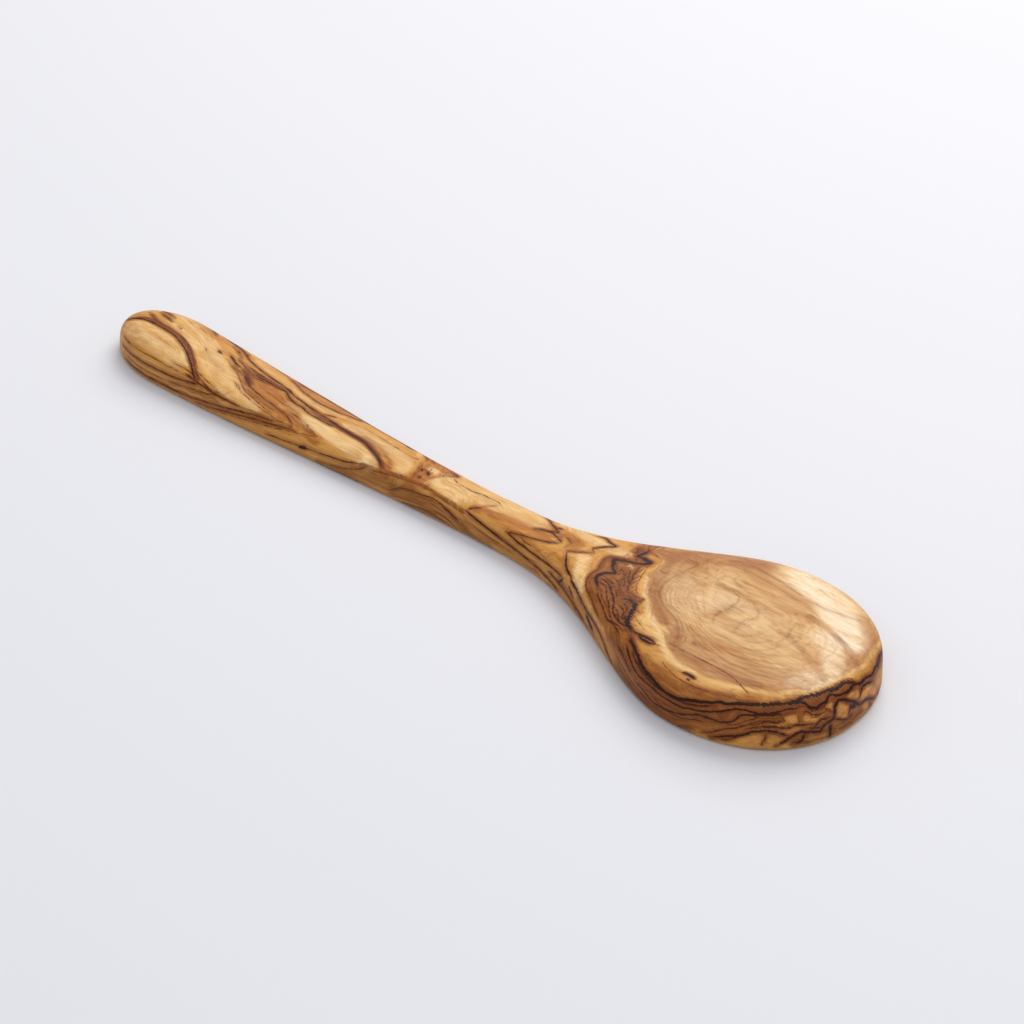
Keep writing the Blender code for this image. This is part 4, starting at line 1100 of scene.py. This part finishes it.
@dataclass(frozen=True)
class OliveWood:
    """Olive wood, sawn, rasped, sanded fine and oiled: a satin skin with the grain's fine relief.

    The oil darkens the late wood and gives a soft broad highlight. The eye gets honey and amber bands that
    follow the growth layers, brown-black veins, and fine fibres along the ladle.

    tones are the layers' colours by level, tints the colour and the most of each tint, and inks the tones
    that a dark line goes through from its edge to its middle, each with a fade. core and halo are fades by
    the distance inside a vein's edge. broad is a fade by half its width, which keeps the halo off thin lines.
    A gain is what a tint adds where it is full. trim is what the veins lose at each side, in millimetres.
    """

    tones: tuple[tuple[float, str], ...] = (
        (-14, "cf9348"), (-9, "d49b4f"), (-5, "d1974b"), (0, "d69d51"), (4.5, "d59c4f"), (6.4, "d3994c"),
        (7.1, "b07a3a"), (7.6, "945c28"), (9.6, "a26627"), (10.1, "7a461e"), (11, "a06526"), (12.6, "996024"),
        (13, "7c4a1e"), (13.6, "a06627"), (15.6, "935a23"), (16.6, "74421c"), (17.3, "945c28"),
        (17.6, "b87c38"), (18.4, "c88e42"), (18.9, "dfb06a"), (19.2, "e2b472"), (19.5, "b98652"),
        (20.4, "c2925f"), (21.2, "cf9f69"), (22.2, "d8ac73"), (23, "dfb783"), (25, "d6a96f"))
    # fae8cf is the whitish colour of the painted sheen on the back of the bowl
    tints: tuple[tuple[Tint, str, float], ...] = (
        (Tint.AMBER, "a96325", 0.9), (Tint.PALE, "f0cf97", 0.75), (Tint.PAINTED_SHEEN, "fae8cf", 0.8),
        (Tint.ROSE, "a0663c", 0.9), (Tint.UMBER, "6f3912", 0.95), (Tint.HONEY, "de9c4e", 0.85))
    late_wood: str = "7e4016"
    fine_line: str = "76401c"
    band: str = "ae6e30"
    inks: tuple[tuple[str, Numbers], ...] = (
        ("7e4016", (0.0, 0.6)), ("56270c", (0.3, 0.9)), ("1a0a04", (0.65, 1.1, 0.0, 0.95)))
    core: Numbers = (-0.18, 0.14)
    halo: Numbers = (-1.25, -0.05)
    broad: Numbers = (0.04, 0.24)
    sheets: int = 6
    long_waves: Wander = Wander((16.0, 6.0, 6.0), 2.0, 0.5)
    short_waves: Wander = Wander((5.0, 1.2, 1.2), 3.0, 0.2)
    crumple: Wander = Wander((2.4, 1.5, 1.5), 4.0, 1.8)
    broad_bands: Wander = Wander((26.0, 6.0, 1.4), 2.0, fade=(-0.25, 0.5, 0.0, 0.6))
    narrow_bands: Wander = Wander((18.0, 3.0, 0.55), 3.0, fade=(0.05, 0.4, 0.0, 0.5))
    patches: Wander = Wander((14.0, 3.2, 0.9), 4.0, 1.4)
    fine_lines: Wander = Wander((12.0, 2.4, 0.22), 3.0, fade=(0.05, 0.4))
    fraying: Wander = Wander((3.0, 0.5, 0.5), 4.0, 0.4)
    swelling: Wander = Wander((4.0, 0.9, 0.9), 3.0, 0.3)
    thin_rings: Rings = Rings(3.2, (0.25, 0.04, 0.0, 0.4))
    thin_ring_waves: Wander = Wander((12.0, 5.0, 5.0), 2.0, 0.8)
    dark_rings: Rings = Rings(1.1, (0.22, 0.04, 0.0, 0.75))
    dark_ring_gaps: Wander = Wander((22.0, 9.0, 1.0), 2.0, fade=(-0.3, 0.3, 0.2, 1.0))
    close_fibres: Wander = Wander((9.0, 3.0, 0.35), 3.0, fade=(0.0, 0.4, 0.0, 0.75))
    fibres: Wander = Wander((14.0, 0.35, 0.35), 3.0)
    flecks: Wander = Wander((5.0, 0.75, 0.75), 3.0)
    noise_roughness: float = 0.55
    tint_full_at: float = 1.1
    fine_line_strength: float = 0.34
    fine_line_gain_in_umber: float = 0.45
    fine_line_gain_in_pale: float = -0.26
    fraying_gain_in_burl: float = 2.6
    crumple_in_veins: float = 0.36
    trim: float = 0.04
    halo_strength: float = 0.75
    halo_mottle: float = 0.4
    thin_ring_strength: float = 0.6
    fibre_contrast: float = 0.28
    fleck_contrast: float = 0.24
    ink_relief: float = -1.2
    relief: float = 0.0002
    relief_strength: float = 0.14
    roughness: float = 0.44
    roughness_mottle: float = 0.06
    ior: float = 1.47
    specular: float = 0.19

    def make(self) -> bpy.types.Material:
        """Build the material.

        Returns:
            The material, which reads the mesh's layers, veins and tints and Object coordinates.
        """
        material = bpy.data.materials.new("oiled_olive_wood")
        material.use_nodes = True
        grain = GrainNodes(self, material.node_tree)
        grain.colour_bands()
        grain.colour_tints()
        grain.draw_veins()
        grain.draw_rings()
        grain.draw_fibres()
        grain.oil(grain.coat(grain.layers()))
        return material


class GrainNodes:
    """The nodes of the wood's material while it is made.

    coats holds the tones that go over the colours of the layers, each with its amount, and ink how dark all
    the dark lines are.
    """

    def __init__(self, wood: OliveWood, tree: bpy.types.NodeTree) -> None:
        """Take up what the mesh gives, and crumple its layers a little, and much more in the burl.

        Args:
            wood: The finish.
            tree: The material's node tree.
        """
        self.wood, self.tree = wood, tree
        self.coats: list[tuple[str, Any]] = []
        self.ink: bpy.types.NodeSocket | None = None
        place = self.add("TexCoord", output="Object")
        self.place = self.add("VectorMath", {0: place, "Scale": 1 / MILLIMETRE}, operation="SCALE")
        self.growth = self.add("Attribute", output="Fac", attribute_name="growth")
        self.tint = {kind: self.add("Attribute", output="Fac", attribute_name=kind.value) for kind in Tint}
        self.jag = self.add("Math", (self.wander(wood.crumple), self.tint[Tint.BURL]), operation="MULTIPLY")
        self.level = self.growth
        for part in (self.wander(wood.long_waves), self.wander(wood.short_waves), self.jag):
            self.level = self.add("Math", (self.level, part), operation="ADD")
        x, y = (self.add("SeparateXYZ", (self.place,), axis) for axis in "XY")
        self.grain = self.add("CombineXYZ", (x, y, self.level))
        self.mottle = self.wander(wood.patches, self.grain)

    def add(self, kind: str, inputs: dict[Any, Any] | Sequence[Any] = (), output: int | str = 0,
            **settings: Any) -> bpy.types.NodeSocket:
        """Add a shader node with its settings and links.

        Args:
            kind: The node's kind, without its ShaderNode prefix.
            inputs: A value or a socket for each input, in their order, or by their names or numbers.
            output: The number or the name of the output that is wanted.
            settings: Values of its properties.

        Returns:
            That output of the new node.
        """
        node = self.tree.nodes.new("ShaderNode" + kind)
        for name, value in settings.items():
            setattr(node, name, value)
        for place, value in inputs.items() if isinstance(inputs, dict) else enumerate(inputs):
            if isinstance(value, bpy.types.NodeSocket):
                self.tree.links.new(value, node.inputs[place])
            else:
                node.inputs[place].default_value = value
        return node.outputs[output]

    def wander(self, pattern: Wander, way: bpy.types.NodeSocket | None = None) -> bpy.types.NodeSocket:
        """Make the noise of a pattern.

        Args:
            pattern: The pattern.
            way: The coordinates it follows; without them, the place in millimetres.

        Returns:
            The noise about zero, or its amount if the pattern has a fade.
        """
        gaps = [1.0 / gap for gap in pattern.spacing]
        squeezed = self.add("VectorMath", (way or self.place, gaps), operation="MULTIPLY")
        value = self.add("TexNoise", {"Vector": squeezed, "Scale": 1.0, "Detail": pattern.detail,
                                      "Roughness": self.wood.noise_roughness})
        value = self.add("Math", (value, 2.0 * pattern.reach, -pattern.reach), operation="MULTIPLY_ADD")
        return self.add("MapRange", (value, *pattern.fade), **SMOOTH) if pattern.fade else value

    def layers(self) -> bpy.types.NodeSocket:
        """The colours of the layers, by their levels."""
        tones = self.wood.tones
        low, high = tones[0][0], tones[-1][0]
        colour = self.add("ValToRGB", (self.add("MapRange", (self.level, low, high)),))
        ramp = colour.node.color_ramp
        while len(ramp.elements) < len(tones):
            ramp.elements.new(1.0)
        for element, (at, tone) in zip(ramp.elements, tones):
            element.position = (at - low) / (high - low)
            element.color = linear_colour(tone)
        return colour

    def colour_bands(self) -> None:
        """Put bands over the layers, which follow them for a while along the ladle and end."""
        for pattern in (self.wood.broad_bands, self.wood.narrow_bands):
            self.coats.append((self.wood.band, self.wander(pattern, self.grain)))

    def colour_tints(self) -> None:
        """Put on the soft streaks, which run out in fibres, and fine lines, more in brown wood than pale."""
        for kind, tone, most in self.wood.tints:
            tint = self.tint[kind]
            amount = self.add("Math", (self.mottle, tint, tint), operation="MULTIPLY_ADD")
            fade = 0.0, self.wood.tint_full_at, 0.0, most
            self.coats.append((tone, self.add("MapRange", (amount, *fade), **SMOOTH)))
        strength: Any = self.wood.fine_line_strength
        for kind, gain in ((Tint.UMBER, self.wood.fine_line_gain_in_umber),
                           (Tint.PALE, self.wood.fine_line_gain_in_pale)):
            strength = self.add("Math", (self.tint[kind], gain, strength), operation="MULTIPLY_ADD")
        lines = self.wander(self.wood.fine_lines, self.grain)
        self.coats.append((self.wood.fine_line, self.add("Math", (lines, strength), operation="MULTIPLY")))

    def darken(self, amount: bpy.types.NodeSocket) -> None:
        """Take dark lines into the ink, where they are darker than what it has."""
        self.ink = amount if self.ink is None else self.add("Math", (self.ink, amount), operation="MAXIMUM")

    def draw_veins(self) -> None:
        """Draw the dark veins, frayed along the fibres and ragged in the burl, in a band of late wood."""
        gain = self.wood.fraying_gain_in_burl
        wild = self.add("Math", (self.tint[Tint.BURL], gain, 1.0), operation="MULTIPLY_ADD")
        fray = self.add("Math", (self.wander(self.wood.fraying), wild), operation="MULTIPLY")
        fray = self.add("Math", (self.jag, self.wood.crumple_in_veins, fray), operation="MULTIPLY_ADD")
        swell = self.add("Math", (self.wander(self.wood.swelling), self.wood.trim), operation="SUBTRACT")
        halo = None
        for sheet in range(self.wood.sheets):
            vein = self.add("Attribute", output="Vector", attribute_name=f"vein_{sheet}")
            aside, half, darkness = (self.add("SeparateXYZ", (vein,), axis) for axis in "XYZ")
            away = self.add("Math", (aside, fray), operation="ADD")
            away = self.add("Math", (away,), operation="ABSOLUTE")
            inside = self.add("Math", (half, away), operation="SUBTRACT")
            inside = self.add("Math", (inside, swell), operation="ADD")
            core = self.add("MapRange", (inside, *self.wood.core), **SMOOTH)
            self.darken(self.add("Math", (core, darkness), operation="MULTIPLY"))
            beside = self.add("MapRange", (inside, *self.wood.halo), **SMOOTH)
            for strength in (darkness, self.add("MapRange", (half, *self.wood.broad), **SMOOTH)):
                beside = self.add("Math", (beside, strength), operation="MULTIPLY")
            halo = beside if halo is None else self.add("Math", (halo, beside), operation="MAXIMUM")
        strengths = self.wood.halo_mottle, self.wood.halo_strength
        uneven = self.add("Math", (self.mottle, *strengths), operation="MULTIPLY_ADD")
        self.coats.append((self.wood.late_wood, self.add("Math", (halo, uneven), operation="MULTIPLY")))

    def rings(self, rings: Rings, level: Any, waves: Any, strengths: Sequence[Any]) -> bpy.types.NodeSocket:
        """Growth rings along the layers.

        Args:
            rings: How many there are, and their fade.
            level: The level they follow.
            waves: What moves them aside.
            strengths: Amounts that thin them out.

        Returns:
            How dark they are.
        """
        amount = self.add("Math", (level, rings.number, waves), operation="MULTIPLY_ADD")
        amount = self.add("Math", (amount, 0.5), operation="PINGPONG")
        amount = self.add("MapRange", (amount, *rings.fade), **SMOOTH)
        for strength in strengths:
            amount = self.add("Math", (amount, strength), operation="MULTIPLY")
        return amount

    def draw_rings(self) -> None:
        """Draw thin rings in the back of the bowl, and dark ones in the burl and the bowl's wall."""
        uneven = self.add("Math", (self.mottle, self.wood.thin_ring_strength), operation="ADD")
        waves = self.wander(self.wood.thin_ring_waves)
        thin = self.rings(self.wood.thin_rings, self.growth, waves, (uneven, self.tint[Tint.FIBRE]))
        self.coats.append((self.wood.fine_line, thin))
        gaps = self.wander(self.wood.dark_ring_gaps, self.grain)
        self.darken(self.rings(self.wood.dark_rings, self.level, 0.0, (gaps, self.tint[Tint.RINGS])))

    def draw_fibres(self) -> None:
        """Draw the close dark fibres, and put the tones of all dark lines on."""
        fibres = self.wander(self.wood.close_fibres, self.grain)
        self.darken(self.add("Math", (fibres, self.tint[Tint.STREAK]), operation="MULTIPLY"))
        for tone, fade in self.wood.inks:
            self.coats.append((tone, self.add("MapRange", (self.ink, *fade), **SMOOTH)))

    def coat(self, colour: bpy.types.NodeSocket) -> bpy.types.NodeSocket:
        """Lay every coat over a colour in turn."""
        for tone, amount in self.coats:
            inputs = {MIX_AMOUNT: amount, MIX_UNDER: colour, MIX_OVER: linear_colour(tone)}
            colour = self.add("Mix", inputs, MIXED, data_type="RGBA")
        return colour

    def oil(self, colour: bpy.types.NodeSocket) -> None:
        """Give the wood its fibres, light and dark and a little proud, and its oiled surface.

        Args:
            colour: The colour of the wood without its fibres.
        """
        fibre = self.wander(self.wood.fibres)
        flecks = self.wander(self.wood.flecks)
        tone = self.add("Math", (fibre, self.wood.fibre_contrast, 1.0), operation="MULTIPLY_ADD")
        tone = self.add("Math", (flecks, self.wood.fleck_contrast, tone), operation="MULTIPLY_ADD")
        tone = self.add("CombineColor", (tone, tone, tone))
        inputs = {MIX_AMOUNT: 1.0, MIX_UNDER: colour, MIX_OVER: tone}
        colour = self.add("Mix", inputs, MIXED, data_type="RGBA", blend_type="MULTIPLY")
        height = self.add("Math", (self.ink, self.wood.ink_relief, fibre), operation="MULTIPLY_ADD")
        dullness = self.wood.roughness_mottle, self.wood.roughness
        dull = self.add("Math", (self.mottle, *dullness), operation="MULTIPLY_ADD")
        normal = self.add("Bump", {"Strength": self.wood.relief_strength, "Distance": self.wood.relief,
                                   "Height": height})
        shader = self.tree.nodes["Principled BSDF"]
        shader.inputs["IOR"].default_value = self.wood.ior
        shader.inputs["Specular IOR Level"].default_value = self.wood.specular
        for name, socket in (("Base Color", colour), ("Roughness", dull), ("Normal", normal)):
            self.tree.links.new(socket, shader.inputs[name])


@dataclass
class Ladle:
    """The ladle, one piece of olive wood from butt to tip."""

    form: LadleForm = field(default_factory=LadleForm)
    finish: OliveWood = field(default_factory=OliveWood)
    stiffness: float = 1.0
    beside_veins: float = 0.6
    tool_marks: float = 0.00025
    tool_mark_spacing: float = 0.016
    tool_mark_fade: float = 0.004
    facing_down: float = -0.2

    def build(self) -> bpy.types.Object:
        """Carve the ladle and give its mesh the wood's layers and tints.

        Returns:
            The ladle, at the origin, with its material.
        """
        points = self.form.skin()
        columns, rows = points.shape[0] - 1, points.shape[1] - 1
        skin = bmesh.new()
        bmesh.ops.create_grid(skin, x_segments=columns, y_segments=rows, size=1.0)
        for vertex in skin.verts:
            column = round((vertex.co.x + 1.0) / 2.0 * columns)
            row = round((vertex.co.y + 1.0) / 2.0 * rows)
            vertex.co = points[column, row]
        bmesh.ops.remove_doubles(skin, verts=skin.verts, dist=WELD)
        bmesh.ops.mirror(skin, geom=skin.verts[:] + skin.edges[:] + skin.faces[:], merge_dist=WELD, axis="Y")
        bmesh.ops.recalc_face_normals(skin, faces=skin.faces)
        skin.normal_update()
        self.carve(skin)
        mesh = bpy.data.meshes.new("ladle_of_olive_wood")
        skin.to_mesh(mesh)
        skin.free()
        mesh.shade_smooth()
        self.grow(mesh)
        mesh.materials.append(self.finish.make())
        return put("ladle_of_olive_wood", mesh)

    def carve(self, skin: bmesh.types.BMesh) -> None:
        """Take the faint hollows of rasp and sanding off the back and wall, never off the front plane."""
        for vertex in skin.verts:
            if vertex.normal.z < self.facing_down or vertex.co.z < self.form.edge_radius:
                continue
            share = ease(np.array((vertex.co.z - self.form.edge_radius) / self.tool_mark_fade))
            hollow = 0.5 + 0.5 * noise.noise(vertex.co / self.tool_mark_spacing)
            vertex.co -= vertex.normal * (self.tool_marks * hollow * float(share))

    def grow(self, mesh: bpy.types.Mesh) -> None:
        """Store the wood's figure in the mesh: each vertex's growth layer, tints and the veins near it."""
        skin = Skin(self.form, mesh)
        layers = GrowthLayers(skin, VEINS, self.stiffness, self.beside_veins)
        self.store(mesh, "growth", layers.level_at(skin.corners))
        for kind, streaks in STREAKS.items():
            self.store(mesh, kind.value, np.maximum.reduce([streak.amount_at(skin) for streak in streaks]))
        lines = VeinLines(skin, VEINS, self.finish.sheets)
        for number, sheet in enumerate(lines.deal()):
            self.store(mesh, f"vein_{number}", lines.at_corners(sheet))

    @staticmethod
    def store(mesh: bpy.types.Mesh, name: str, values: np.ndarray) -> None:
        """Add a number, or three, for each vertex to the mesh under a name."""
        kind, key = ("FLOAT", "value") if values.ndim == 1 else ("FLOAT_VECTOR", "vector")
        attribute = mesh.attributes.new(name, kind, "POINT")
        attribute.data.foreach_set(key, np.asarray(values, np.float32).ravel())


@dataclass
class SoftLight:
    """A square lamp, placed round the ladle by azimuth and elevation in degrees, and aimed at it."""

    name: str
    azimuth: float
    elevation: float
    size: float
    power: float
    colour: str
    distance: float = 1.6

    def build(self) -> None:
        """Hang the lamp."""
        lamp = bpy.data.lights.new(self.name, "AREA")
        lamp.energy = self.power
        lamp.size = self.size
        lamp.color = linear_colour(self.colour)[:3]
        stand(put(self.name, lamp), self.azimuth, self.elevation, self.distance)


@dataclass
class Studio:
    """A pale floor, a soft sky, lamps, and the camera."""

    floor_size: float = 8.0
    floor_colour: str = "dfe1e7"
    floor_roughness: float = 0.7
    sky_colour: str = "f6f7fb"
    sky_strength: float = 0.62
    lamps: tuple[SoftLight, ...] = (
        SoftLight("window_light", 103.0, 46.0, 1.2, 16.5, "fff9f1"),
        SoftLight("overhead_light", 20.0, 75.0, 1.6, 5.0, "ffffff"),
    )
    aim: tuple[float, float, float] = (0.00969, 0.01036, 0.0)
    camera_azimuth: float = -50.02
    camera_elevation: float = 38.5
    camera_distance: float = 1.03843
    lens: float = 116.33
    sensor_width: float = 36.0
    clip_start: float = 0.01

    def build(self) -> None:
        """Set out the floor, the light and the camera."""
        self.lay_floor()
        self.light()
        self.place_camera()

    def lay_floor(self) -> None:
        """Lay a floor of pale matt plaster under the ladle, which gives the eye a soft even ground."""
        sheet = bmesh.new()
        bmesh.ops.create_grid(sheet, x_segments=1, y_segments=1, size=self.floor_size / 2)
        mesh = bpy.data.meshes.new("floor")
        sheet.to_mesh(mesh)
        sheet.free()
        material = bpy.data.materials.new("pale_plaster")
        material.use_nodes = True
        shader = material.node_tree.nodes["Principled BSDF"]
        shader.inputs["Base Color"].default_value = linear_colour(self.floor_colour)
        shader.inputs["Roughness"].default_value = self.floor_roughness
        mesh.materials.append(material)
        floor = put("floor", mesh)

    def light(self) -> None:
        """Light the sky evenly and hang the lamps."""
        world = bpy.data.worlds.new("soft_sky")
        world.use_nodes = True
        sky = world.node_tree.nodes["Background"]
        sky.inputs["Color"].default_value = linear_colour(self.sky_colour)
        sky.inputs["Strength"].default_value = self.sky_strength
        bpy.context.scene.world = world
        for lamp in self.lamps:
            lamp.build()

    def place_camera(self) -> None:
        """Stand the camera where the photograph was taken from."""
        lens = bpy.data.cameras.new("camera")
        lens.lens = self.lens
        lens.sensor_width = self.sensor_width
        lens.clip_start = self.clip_start
        camera = put("camera", lens)
        stand(camera, self.camera_azimuth, self.camera_elevation, self.camera_distance, self.aim)
        bpy.context.scene.camera = camera
        bpy.context.scene.view_settings.view_transform = "Standard"


def main() -> None:
    """Build the ladle and the studio."""
    logging.basicConfig(level=logging.INFO, format="%(name)s: %(message)s")
    ladle = Ladle().build()
    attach(ladle, "root")
    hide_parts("ladle")
    LOG.info("%s: %d faces", ladle.name, len(ladle.data.polygons))
    Studio().build()
    LOG.info("floor, light and camera")


if __name__ == "__main__":
    main()
